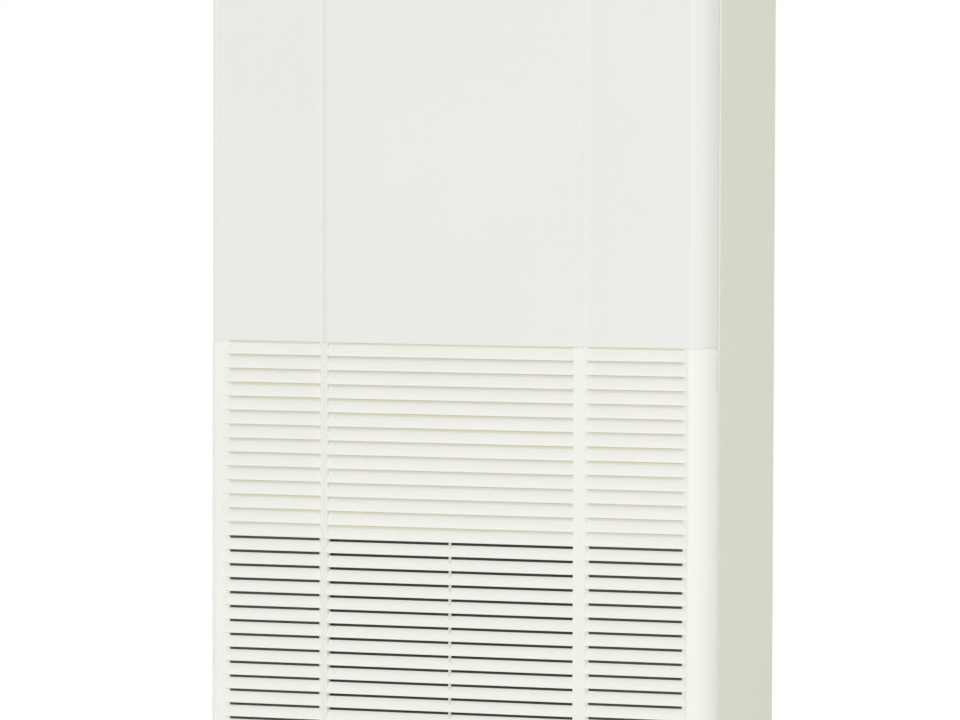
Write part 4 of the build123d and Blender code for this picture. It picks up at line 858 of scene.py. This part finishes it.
class AC_OT_intake_grille(bpy.types.Operator):
    """Make the intake grille: frame, three columns of slats, backing plates and rails."""

    bl_idname = "ac.intake_grille"
    bl_label = "Intake Grille"

    def execute(self, context):
        g = context.scene.ac_grille
        front, side_front = face_places()
        # each column: its window's ends at the face, the same at the recess, and the face's place
        columns = (
            ((-0.2756, -0.1562), (-0.2685, -0.160), side_front),
            ((-0.1458, 0.1458), (-0.1443, 0.1443), front),
            ((0.1562, 0.2756), (0.160, 0.2685), side_front),
        )
        backing = g.recess + g.thickness
        sill = g.first_lip - g.rows * g.pitch
        grille = self.frame(columns, backing, sill)
        slats = self.slats(columns, backing)
        backs = self.backs(columns, backing, sill)
        rails = self.rails(backing)
        for piece in (*slats, backs, rails):
            # the backing plates get the darker backing colour, which is painted shade in the slots of the
            # blind rows
            dress(piece, "grille", "grille_white", finish="grille_backing" if piece is backs else None)
        dress(grille, "grille", "grille_white", "intake_grille")
        return {"FINISHED"}

    @staticmethod
    def frame(columns, backing, sill):
        """The moulded shell, with three windows open at the top and a groove along its top edge."""
        c, g = bpy.context.scene.ac_cabinet, bpy.context.scene.ac_grille
        front, side_front = face_places()
        back_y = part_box("upper_front_panel")[1].y
        grille = prism_object("intake_front", shell_outline(back_y, c.wall), g.bottom, g.top)
        # the shell is thicker behind the windows
        shift = mitre(backing)
        thick_half = 0.280
        thick_y = side_front + backing
        outline = [
            (-thick_half, thick_y),
            *face_path(thick_half),
            (thick_half, thick_y),
            (c.raised_half + c.step_width - shift, thick_y),
            (c.raised_half - shift, front + backing),
            (-c.raised_half + shift, front + backing),
            (-c.raised_half - c.step_width + shift, thick_y),
        ]
        cut(grille, prism_object("thickening", outline, sill - backing, g.top), "UNION")
        foot_depth = 0.010
        foot = [p for p in front_path(c.wall / 2, back_y) if p[1] < side_front + foot_depth]
        cut(grille, prism_object("foot", foot, g.bottom, g.bottom + c.wall), "UNION")
        flare, window_back = 0.0002, 0.003
        for mouth, floor, face in columns:
            outline = [
                (mouth[0] - flare, face - past),
                (mouth[0], face),
                (floor[0], face + g.recess),
                (floor[0], face + backing + window_back),
                (floor[1], face + backing + window_back),
                (floor[1], face + g.recess),
                (mouth[1], face),
                (mouth[1] + flare, face - past),
            ]
            cut(grille, prism_object("window", outline, sill, g.top + past))
        outside = 0.002
        groove = front_path(-outside, back_y + past) + front_path(g.seam_depth, back_y + past)[::-1]
        cut(grille, prism_object("seam", groove, g.top - g.seam, g.top + past))
        pull_in(grille, c.grille_reveal)
        # finger notches in the edge, and room for the hinge at the foot of the returns
        notch_depth, notch_z = 0.012, (0.891, 0.930)
        heel_width, heel_depth, heel_z = 0.003, 0.006, (0.029, 0.041)
        for side in (-1, 1):
            rebate = (side * (c.width / 2 - c.reveal), side * (c.width / 2 + past))
            edge = (side * (c.width / 2 - c.wall - heel_width), side * (c.width / 2 + past))
            cut(grille, slab_object("notch", rebate, (back_y - notch_depth, back_y + past), notch_z))
            cut(grille, slab_object("heel", edge, (back_y - heel_depth, back_y + past), heel_z))
        fine = 0.7  # share of the panels' rounding that the grille gets
        round_edges(grille, c.edge * fine)
        return grille

    @staticmethod
    def slats(columns, backing):
        """One piece for each column, its slat repeated downwards."""
        g = bpy.context.scene.ac_grille
        column = row_tree()
        rise = g.pitch - g.gap
        first = g.first_lip - g.pitch
        nose, chamfer = 0.0004, 0.0003
        made = []
        for index, (mouth, _, face) in enumerate(columns):
            outline = [
                (face + g.thickness, 0.0),
                (face + nose, 0.0),
                (face + nose * 0.3, nose * 0.3),
                (face, nose),
                (face, g.lip),
                (face + g.recess - chamfer, rise - 2 * chamfer),
                (face + g.recess, rise),
                (face + backing - chamfer, rise),
            ]
            outline = [(y, z + first) for y, z in outline]
            slat = prism_object(f"slats_{index + 1}", outline, *wider(mouth, tuck), axis="X")
            smooth(slat, 25.0)
            step = (0.0, 0.0, -g.pitch)
            made.append(repeat(slat, column, count=g.rows, step=step, finish=finish_for("grille_white")))
        return made

    @staticmethod
    def backs(columns, backing, sill):
        """Plates behind the blind rows, and the rib down the middle of the open ones."""
        g = bpy.context.scene.ac_grille
        front = face_places()[0]
        blind_foot = g.first_lip - g.blind_rows * g.pitch
        rib_half, plate_setback, rib_setback = 0.0013, 0.0003, 0.003
        bm = bmesh.new()
        for _, floor, face in columns:
            plate_y = (face + g.recess + plate_setback, face + backing)
            slab(bm, wider(floor, tuck), plate_y, (blind_foot + g.pitch / 2, g.top))
        slab(bm, (-rib_half, rib_half), (front + rib_setback, front + backing), (sill, blind_foot))
        backs = mesh_object("backing", bm)
        smooth(backs)
        return backs

    @staticmethod
    def rails(backing):
        """Rails that carry the filter, strikers for the catches and arms for the hinge pins."""
        side_front = face_places()[1]
        back_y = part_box("upper_front_panel")[1].y
        pin_low, pin_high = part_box("grille_hinge_pins")
        hinge = ((pin_low.y + pin_high.y) / 2, (pin_low.z + pin_high.z) / 2)
        lip_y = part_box("filter_frame")[1].y + 0.0004
        lip_in, wall_in, rail_out, rail_wall = 0.262, 0.270, 0.272, 0.002
        rail_foot, shelf_top, rail_top, joint = 0.096, 0.099, 0.930, 0.0005
        shelf_front = side_front + 0.002
        striker_x, root_x, striker_z = (0.287, 0.293), (0.287, 0.297), (0.912, 0.918)
        striker_reach, root_gap = 0.014, 0.006
        knuckle, arm_x, arm_root, steps = 0.0055, (0.268, 0.277), side_front + 0.00125, 16
        bm = bmesh.new()
        for side in (-1, 1):
            lip_x = (side * lip_in, side * rail_out)
            wall_y = (side_front + backing - joint, lip_y + rail_wall)
            slab(bm, (side * wall_in, side * rail_out), wall_y, (rail_foot, rail_top))
            slab(bm, lip_x, (lip_y, lip_y + rail_wall), (rail_foot, rail_top))
            slab(bm, lip_x, (shelf_front, lip_y + joint), (rail_foot, shelf_top))
            for ends, back in ((striker_x, back_y + striker_reach), (root_x, back_y - root_gap)):
                slab(bm, [side * x for x in ends], (back_y - striker_reach, back), striker_z)
            arm = [(arm_root, hinge[1] - knuckle), (hinge[0], hinge[1] - knuckle)]
            for turn in [pi * i / steps for i in range(1, steps + 1)]:
                arm.append((hinge[0] + knuckle * sin(turn), hinge[1] - knuckle * cos(turn)))
            arm.append((arm_root, hinge[1] + 2 * knuckle))
            prism(bm, arm, *sorted(side * x for x in arm_x), axis="X")
        rails = mesh_object("rails", bm)
        round_edges(rails, 0.0003)
        return rails


class AC_OT_steel_cabinet(bpy.types.Operator):
    """Make the folded side panels and the top cap."""

    bl_idname = "ac.steel_cabinet"
    bl_label = "Steel Cabinet"

    def execute(self, context):
        c = context.scene.ac_cabinet
        half, skin = c.width / 2, c.sheet / 2
        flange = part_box("rear_panel")[0].y
        bend = c.sheet * 1.15
        hole, hole_reach = 0.0024, 0.003
        striker_x, striker_y, striker_z = (0.2855, 0.2945), 0.002, (0.910, 0.920)
        for side, node in ((1, "right_side_panel"), (-1, "left_side_panel")):
            low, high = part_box(node)
            path = [(half - c.front_flange, low.y), (half, low.y), (half, high.y)]
            outline = [(side * x, y) for x, y in sheet_outline(path, c.sheet, bend)]
            panel = prism_object("right_side" if side > 0 else "left_side", outline, low.z, high.z)
            hem = (side * (half - c.rear_flange), side * (half - skin))
            cut(panel, slab_object("flange", hem, (flange - c.sheet, flange), (low.z, high.z)), "UNION")
            inward = (side * (half - c.front_flange), side * (half - skin))
            depth = (low.y + skin, flange - skin)
            cut(panel, slab_object("fold", inward, depth, (high.z - c.sheet, high.z)), "UNION")
            x = side * context.scene.ac_back.screw_x
            ends = (flange - hole_reach, flange + past)
            bars = [(*((x, y, z) for y in ends), hole) for z in screw_heights()]
            cut(panel, rods_object("holes", *bars))
            slot_x = [side * x for x in striker_x]
            cut(panel, slab_object("slot", slot_x, (low.y - past, low.y + striker_y), striker_z))
            smooth(panel)
            dress(panel, "cabinet", "cabinet_paint", node)

        low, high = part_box("top_panel")
        crown, crown_steps, cap_wall = 0.0025, 4, 0.0015
        cap = prism_object("top_cap", front_path(0, high.y), low.z, high.z)
        bevel = cap.modifiers.new("Crown", "BEVEL")
        bevel.width = crown
        bevel.segments = crown_steps
        bevel.limit_method = "WEIGHT"
        weights = cap.data.attributes.new("bevel_weight_edge", "FLOAT", "EDGE")
        for edge in cap.data.edges:
            lowest = min(cap.data.vertices[i].co.z for i in edge.vertices)
            weights.data[edge.index].value = 1.0 if lowest > high.z - 0.0001 else 0.0
        settle(cap)
        inside = front_path(cap_wall, high.y - cap_wall)
        cut(cap, prism_object("hollow", inside, low.z - past, high.z - cap_wall))
        smooth(cap)
        weigh_normals(cap)
        dress(cap, "cabinet", "cabinet_paint", "top_panel")
        return {"FINISHED"}


class AC_OT_louvres(bpy.types.Operator):
    """Make the flaps and the vanes with their pivots, and the links that join them."""

    bl_idname = "ac.louvres"
    bl_label = "Louvres"

    def execute(self, context):
        v = context.scene.ac_louvres
        flaps, vanes = (
            {n: pivot_of[f"{n}_turn"] for n in body_of if n.startswith(kind) and n[5:].isdigit()}
            for kind in ("flap_", "vane_")
        )
        for node in sorted(flaps):
            self.flap(v, node, flaps[node])
        for node in sorted(vanes):
            self.vane(v, node, vanes[node])

        low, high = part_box("flap_link")
        reach = v.flap_crank * cos(v.flap_tilt), v.flap_crank * sin(v.flap_tilt)
        spots = [pivot + Vector((0, *reach)) for pivot in flaps.values()]
        middle = ((low.y + high.y) / 2, (low.z + high.z) / 2)
        outline = capsule(middle, high.z - low.z, v.link_width, pi / 2)
        bar = prism_object("flap_bar", outline, low.x, high.x, axis="X")
        ends = wider((low.x, high.x), past)
        holes = [[(x, spot.y, spot.z) for x in ends] for spot in spots]
        self.link(bar, "flap_bar", holes, "flap_link")

        low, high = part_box("vane_link")
        middle = ((low.x + high.x) / 2, (low.y + high.y) / 2)
        outline = capsule(middle, high.x - low.x, v.link_width, 0.0)
        bar = prism_object("vane_bar", outline, low.z, high.z)
        ends = wider((low.z, high.z), past)
        holes = [[(pivot.x, middle[1], z) for z in ends] for pivot in vanes.values()]
        self.link(bar, "vane_bar", holes, "vane_link")
        return {"FINISHED"}

    @staticmethod
    def link(bar, body, holes, node):
        """Bore a link for its crank pins and give it its finish."""
        play = 0.0001
        radius = bpy.context.scene.ac_louvres.crank_pin + play
        cut(bar, rods_object("holes", *((*ends, radius) for ends in holes)))
        smooth(bar)
        dress(bar, body, "louvre_plastic", node)

    @staticmethod
    def flap(v, node, pivot):
        """One flap: a blade with round noses, two pivots and a crank pin."""
        low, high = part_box(node)
        pin_length, crank_length = 0.009, 0.0047
        half = -low.x - pin_length
        section = capsule((pivot.y, pivot.z), v.flap_chord, v.flap_thickness, v.flap_tilt)
        blade = prism_object(f"{node}_blade", section, -half, half, axis="X")
        round_edges(blade, 0.0005)
        y = pivot.y + v.flap_crank * cos(v.flap_tilt)
        z = pivot.z + v.flap_crank * sin(v.flap_tilt)
        add_rods(
            blade,
            ((-half + tuck, pivot.y, pivot.z), (low.x, pivot.y, pivot.z), v.pin),
            ((half - tuck, pivot.y, pivot.z), (high.x, pivot.y, pivot.z), v.pin),
            ((-half + tuck, y, z), (-half - crank_length, y, z), v.crank_pin),
        )
        smooth(blade)
        dress(blade, body_of[node], "louvre_plastic", node)

    @staticmethod
    def vane(v, node, pivot):
        """One vane: an upright blade round its barrel, two pivots and a crank pin with a shoulder."""
        low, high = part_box(node)
        foot_pin, head_pin = 0.0135, 0.006
        shoulder, shoulder_height, crank_length = 0.0008, 0.003, 0.007
        foot, head = low.z + foot_pin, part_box("vane_1")[1].z - head_pin
        section = capsule((pivot.x, pivot.y), v.vane_chord, v.vane_thickness, pi / 2)
        blade = prism_object(f"{node}_blade", section, foot, head)
        round_edges(blade, 0.0004)
        x, y = pivot.x, pivot.y + v.vane_crank
        add_rods(
            blade,
            ((x, pivot.y, low.z), (x, pivot.y, high.z), v.pin),
            ((x, y, foot + shoulder_height), (x, y, foot), v.crank_pin + shoulder),
            ((x, y, foot + tuck), (x, y, foot - crank_length), v.crank_pin),
        )
        smooth(blade)
        dress(blade, body_of[node], "louvre_plastic", node)


class AC_OT_back(bpy.types.Operator):
    """Make the rear panel with its beads, knock-out and holes, and the cabinet's screws."""

    bl_idname = "ac.back"
    bl_label = "Back"

    def execute(self, context):
        self.panel(context.scene.ac_back)
        self.screws(context.scene.ac_back)
        return {"FINISHED"}

    @staticmethod
    def panel(b):
        """The rear panel: a sheet with its holes and knock-out, and beads that stand out of it."""
        low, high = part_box("rear_panel")
        relief = 0.001
        skin = high.y - relief
        sheet = slab_object("back_sheet", (low.x, high.x), (low.y, skin), (low.z, high.z))
        screw_hole, wall_hole, wall_inset = 0.0022, 0.0045, 0.100
        ends = wider((low.y, skin), past)
        bars = []
        for side in (-1, 1):
            x = side * b.screw_x
            bars += [(*((x, y, z) for y in ends), screw_hole) for z in screw_heights()]
            x = side * (bpy.context.scene.ac_cabinet.width / 2 - wall_inset)
            bars.append((*((x, y, b.screw_high) for y in ends), wall_hole, 32))
        cut(sheet, rods_object("holes", *bars))
        x, z = -b.screw_x + 0.080, 0.120  # middle of the knock-out
        score_width, score_depth, facets = 0.002, 0.0005, 96
        ring = rods_object("ring", ((x, skin - score_depth, z), (x, skin + past, z), b.knockout, facets))
        core = ((x, skin - 2 * past, z), (x, skin + 2 * past, z), b.knockout - score_width, facets)
        cut(ring, rods_object("core", core))
        cut(sheet, ring)
        root = 0.0004  # how far the beads start inside the skin
        pitch = (b.screw_high - b.screw_low) / (b.beads + 1)
        middle = (0.0, b.screw_low + pitch)
        outline = capsule(middle, b.bead_length, b.bead_height, 0.0, 16)
        crown = capsule(middle, b.bead_length - 2 * b.bead_flank, b.bead_height - 2 * b.bead_flank, 0.0, 16)
        bm = bmesh.new()
        loft(bm, [(x, skin - root, z) for x, z in outline], [(x, skin + relief, z) for x, z in crown])
        bead = mesh_object("beads", bm)
        round_edges(bead, 0.0008, 3, 20.0)
        repeat(bead, row_tree(), count=b.beads, step=(0.0, 0.0, pitch), finish=finish_for("zinc_steel"))
        smooth(sheet)
        dress(bead, "cabinet", "zinc_steel")
        dress(sheet, "cabinet", "zinc_steel", "rear_panel")

    @staticmethod
    def screws(b):
        """Cross-head screws down both sides of the rear panel."""
        low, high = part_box("cabinet_screws")
        head_height, slot_depth, slot_long, slot_wide = 0.0022, 0.0012, 0.0044, 0.0010
        shank, shank_tuck = 0.002, 0.0002
        seat = high.y - head_height
        pitch = (b.screw_high - b.screw_low) / (b.screw_rows - 1)
        column = row_tree()
        made = []
        for side, name in ((-1, "left_screws"), (1, "right_screws")):
            x, z = side * b.screw_x, b.screw_low
            head = rods_object(name, ((x, seat, z), (x, high.y, z), b.head, 32))
            round_edges(head, 0.0010, 3)
            for wide, tall in ((slot_long, slot_wide), (slot_wide, slot_long)):
                slot_y = (high.y - slot_depth, high.y + past)
                cut(head, slab_object("slot", wider((x, x), wide / 2), slot_y, wider((z, z), tall / 2)))
            add_rods(head, ((x, seat + shank_tuck, z), (x, low.y, z), shank, 16))
            smooth(head)
            step = (0.0, 0.0, pitch)
            made.append(
                repeat(head, column, count=b.screw_rows, step=step, finish=finish_for("bright_steel"))
            )
        dress(made[0], "cabinet", "bright_steel", "cabinet_screws")
        dress(made[1], "cabinet", "bright_steel")


class AC_OT_fan(bpy.types.Operator):
    """Make the fan's curved blades, with its disc, hub and ring."""

    bl_idname = "ac.fan"
    bl_label = "Fan"

    def execute(self, context):
        f = context.scene.ac_fan
        pivot = pivot_of["fan_spin"]
        low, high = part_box("fan_blades")
        steps = 8
        straight, curved = 0.2, 0.8  # shares of the sweep that grow evenly and with the square
        sides = []
        for lead in (0.0, f.thickness / f.radius):
            side = []
            for i in range(steps + 1):
                share = i / steps
                radius = f.eye + (f.radius - f.eye) * share
                angle = lead + f.sweep * (straight * share + curved * share**2)
                side.append((radius * cos(angle), radius * sin(angle)))
            sides.append(side)
        blade = prism_object("blades", sides[0] + sides[1][::-1], low.y, high.y, axis="Y")
        smooth(blade)
        centre = (pivot.x, 0.0, pivot.z)
        repeat(blade, ring_tree(), count=f.blades, centre=centre, finish=finish_for("fan_plastic"))
        dress(blade, "rotor", "fan_plastic", "fan_blades")
        softened("fan_rotor", 0.0008)
        return {"FINISHED"}


class AC_OT_coil_bends(bpy.types.Operator):
    """Make the two rows of copper return bends on the coil's left end."""

    bl_idname = "ac.coil_bends"
    bl_label = "Coil Bends"

    def execute(self, context):
        b = context.scene.ac_coil
        low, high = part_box("coil_fins")
        depth = b.depth * sin(b.lean)
        pitch = (high.z - low.z - depth) / cos(b.lean) / b.rows
        foot = Vector((0.0, high.y - b.depth / 2 * cos(b.lean), low.z + depth / 2))
        up = Vector((0.0, -sin(b.lean), cos(b.lean)))
        ahead = Vector((0.0, -cos(b.lean), -sin(b.lean)))
        reach = b.reach - b.tube
        bend_share = 0.31  # outer half height of a bend, as a share of the pitch
        half = bend_share * pitch - b.tube
        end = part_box("coil_return_bends")[1].x
        turns, around = 16, 20
        row = row_tree()
        made = []
        for name, forward in (("front_bends", b.depth / 4), ("back_bends", -b.depth / 4)):
            start = foot + ahead * forward + up * pitch / 2
            rings = []
            for i in range(turns + 1):
                angle = pi * i / turns - pi / 2
                centre = start + up * half * sin(angle) + Vector((end - reach * cos(angle), 0.0, 0.0))
                along = (up * half * cos(angle) + Vector((reach * sin(angle), 0.0, 0.0))).normalized()
                across = along.cross(ahead)
                spread = [2 * pi * k / around for k in range(around)]
                rings.append([centre + (ahead * cos(t) + across * sin(t)) * b.tube for t in spread])
            bm = bmesh.new()
            loops = [[bm.verts.new(point) for point in ring] for ring in rings]
            for here, there in zip(loops, loops[1:]):
                for k in range(around):
                    j = (k + 1) % around
                    bm.faces.new((here[k], here[j], there[j], there[k]))
            bm.faces.new(loops[0])
            bm.faces.new(loops[-1][::-1])
            bend = mesh_object(name, bm)
            smooth(bend)
            repeat(bend, row, count=b.rows, step=tuple(up * pitch), finish=finish_for("copper"))
            made.append(bend)
        dress(made[0], "cabinet", "copper", "coil_return_bends")
        dress(made[1], "cabinet", "copper")
        return {"FINISHED"}


class AC_OT_rounded_pieces(bpy.types.Operator):
    """Round the edges of the moulded and folded pieces whose shape is carried over."""

    bl_idname = "ac.rounded_pieces"
    bl_label = "Rounded Pieces"

    def execute(self, context):
        for node, width, segments in (
            ("louvre_frame", 0.0005, 2),
            ("controller_case", 0.0006, 3),
            ("controller_lid", 0.0005, 3),
            ("on_off_button", 0.0008, 3),
            ("temperature_rocker", 0.0008, 3),
            ("mode_button", 0.0008, 3),
            ("filter_frame", 0.0005, 2),
            ("base_frame", 0.0003, 2),
            ("grille_hinge_pins", 0.0004, 2),
            ("grille_catches", 0.0003, 2),
            ("control_box", 0.0003, 2),
            ("control_box_cover", 0.0005, 3),
            ("terminal_block", 0.0005, 2),
            ("drain_pan", 0.0006, 2),
            ("drain_spigot", 0.0005, 2),
            ("pipe_unions", 0.0005, 2),
            ("bell_mouth", 0.0004, 2),
            ("fan_nut", 0.0005, 2),
            ("fan_motor", 0.0010, 2),
            ("motor_bracket", 0.0004, 2),
            ("motor_isolators", 0.0005, 2),
            ("flap_motor", 0.0006, 2),
            ("vane_motor", 0.0006, 2),
            ("duct_liners", 0.0015, 2),
            ("discharge_duct", 0.0015, 2),
        ):
            softened(node, width, segments)
        return {"FINISHED"}


class AC_OT_inner_finishes(bpy.types.Operator):
    """Give every carried-over piece its material."""

    bl_idname = "ac.inner_finishes"
    bl_label = "Inner Finishes"

    def execute(self, context):
        for name, piece in frame["nodes"].items():
            finish = finish_for(slot_of[name])
            if piece.material_slots:
                for slot in piece.material_slots:
                    slot.material = finish
            else:
                piece.data.materials.append(finish)
        return {"FINISHED"}


class AC_OT_stage(bpy.types.Operator):
    """Set the floor, the lamps, the sky and the camera."""

    bl_idname = "ac.stage"
    bl_label = "Stage"

    def execute(self, context):
        s = context.scene.ac_stage
        self.floor(radius=3.2)
        self.sky(context.scene, s.sky)
        self.lamp("front_lamp", (0.9, -7.6, 2.2), (0, 0, 0.95), (5.2, 2.4), s.front_light)
        self.lamp("side_lamp", (4.5, -0.2, 2.2), (0.3, 0, 0.95), (2.6, 2.6), s.side_light, (1.0, 0.99, 0.94))
        self.lamp("left_lamp", (-4.2, -0.5, 2.4), (-0.3, 0, 0.95), (2.6, 2.6), s.side_light * 0.8)
        self.lamp("back_lamp", (-1.2, 4.0, 4.2), (0, 0, 0.9), (2.0, 1.6), s.back_light)
        self.camera(context.scene, s.focal_length)
        context.scene.view_settings.view_transform = "Standard"
        return {"FINISHED"}

    @staticmethod
    def floor(radius):
        """A round white floor."""
        bm = bmesh.new()
        bmesh.ops.create_circle(bm, cap_ends=True, segments=96, radius=radius)
        floor = mesh_object("floor", bm)
        for polygon in floor.data.polygons:
            if polygon.normal.z < 0:
                polygon.flip()
        material, tree, shader = node_tree("floor_white")
        cloud = noise(tree, object_coordinates(tree), 2.0)
        base_colour(tree, shader, cloud, (0.90, 0.90, 0.90), (0.93, 0.93, 0.93))
        shader.inputs["Roughness"].default_value = 0.9
        floor.data.materials.append(material)

    @staticmethod
    def sky(scene, strength):
        """White to the camera, in reflections and through glass, and softer as light."""
        world = bpy.data.worlds.new("studio")
        scene.world = world
        world.use_nodes = True
        tree = world.node_tree
        tree.nodes.clear()
        output = tree.nodes.new("ShaderNodeOutputWorld")
        rays = tree.nodes.new("ShaderNodeLightPath").outputs
        seen = combine(tree, "MAXIMUM", rays["Is Camera Ray"], rays["Is Glossy Ray"])
        seen = combine(tree, "MAXIMUM", seen, rays["Is Transmission Ray"])
        mix = tree.nodes.new("ShaderNodeMixShader")
        tree.links.new(seen, mix.inputs["Fac"])
        glow, white = (1.0, 1.0, 0.985, 1), (1, 1, 1, 1)
        for entry, tint, power in ((1, glow, strength), (2, white, 1.0)):
            light = tree.nodes.new("ShaderNodeBackground")
            light.inputs["Color"].default_value = tint
            light.inputs["Strength"].default_value = power
            tree.links.new(light.outputs[0], mix.inputs[entry])
        tree.links.new(mix.outputs[0], output.inputs["Surface"])

    @staticmethod
    def camera(scene, lens):
        """The camera, from the fitted view of the photograph."""
        data = bpy.data.cameras.new("camera")
        data.lens = lens
        data.sensor_width = 36.0
        data.sensor_fit = "HORIZONTAL"
        camera = bpy.data.objects.new("camera", data)
        scene.collection.objects.link(camera)
        place = (2.02499, -5.96702, 1.23136)
        yaw, pitch, roll = 0.328654, 0.049984, 0.002806
        look = Vector((-sin(yaw) * cos(pitch), cos(yaw) * cos(pitch), -sin(pitch)))
        right = Vector((cos(yaw), sin(yaw), 0))
        up = right.cross(look)
        across = right * cos(roll) + up * sin(roll)
        upright = up * cos(roll) - right * sin(roll)
        turn = Matrix((across, upright, -look)).transposed()
        camera.matrix_world = Matrix.Translation(place) @ turn.to_4x4()
        scene.camera = camera

    @staticmethod
    def lamp(name, place, target, size, power, tint=(1.0, 1.0, 1.0)):
        """A soft lamp of a width and a height, aimed at a point."""
        data = bpy.data.lights.new(name, "AREA")
        data.shape = "RECTANGLE"
        data.size, data.size_y = size
        data.energy = power
        data.color = tint
        lamp = bpy.data.objects.new(name, data)
        bpy.context.scene.collection.objects.link(lamp)
        lamp.location = place
        lamp.rotation_euler = (Vector(target) - Vector(place)).to_track_quat("-Z", "Y").to_euler()


class AC_PT_sidebar(bpy.types.Panel):
    """Settings and pieces of the air conditioner."""

    bl_label = "Air Conditioner"
    bl_idname = "AC_PT_sidebar"
    bl_space_type = "VIEW_3D"
    bl_region_type = "UI"
    bl_category = "Air Conditioner"

    def draw(self, context):
        layout = self.layout
        for key in settings:
            group = getattr(context.scene, key)
            column = layout.column(align=True)
            for name in group.bl_rna.properties.keys():
                if name not in {"rna_type", "name"}:
                    column.prop(group, name)
        for operator in piece_operators:
            layout.operator(operator.bl_idname)


piece_operators = (
    AC_OT_stage,
    AC_OT_inner_finishes,
    AC_OT_front_panels,
    AC_OT_intake_grille,
    AC_OT_steel_cabinet,
    AC_OT_louvres,
    AC_OT_back,
    AC_OT_fan,
    AC_OT_coil_bends,
    AC_OT_rounded_pieces,
)
settings = {
    "ac_cabinet": CabinetSettings,
    "ac_grille": GrilleSettings,
    "ac_louvres": LouvreSettings,
    "ac_fan": FanSettings,
    "ac_coil": CoilSettings,
    "ac_back": BackSettings,
    "ac_finish": FinishSettings,
    "ac_stage": StageSettings,
}
classes = (*settings.values(), *piece_operators, AC_PT_sidebar)


def register():
    """Register the classes and the scene's settings."""
    for item in classes:
        bpy.utils.register_class(item)
    for name, group in settings.items():
        setattr(bpy.types.Scene, name, PointerProperty(type=group))


def unregister():
    """Remove the settings and the classes."""
    for name in settings:
        delattr(bpy.types.Scene, name)
    for item in reversed(classes):
        bpy.utils.unregister_class(item)


def main():
    """Make every piece in order."""
    register()
    bpy.ops.ac.stage()
    bpy.ops.ac.inner_finishes()
    bpy.ops.ac.front_panels()
    bpy.ops.ac.intake_grille()
    bpy.ops.ac.steel_cabinet()
    bpy.ops.ac.louvres()
    bpy.ops.ac.back()
    bpy.ops.ac.fan()
    bpy.ops.ac.coil_bends()
    bpy.ops.ac.rounded_pieces()


if __name__ == "__main__":
    main()
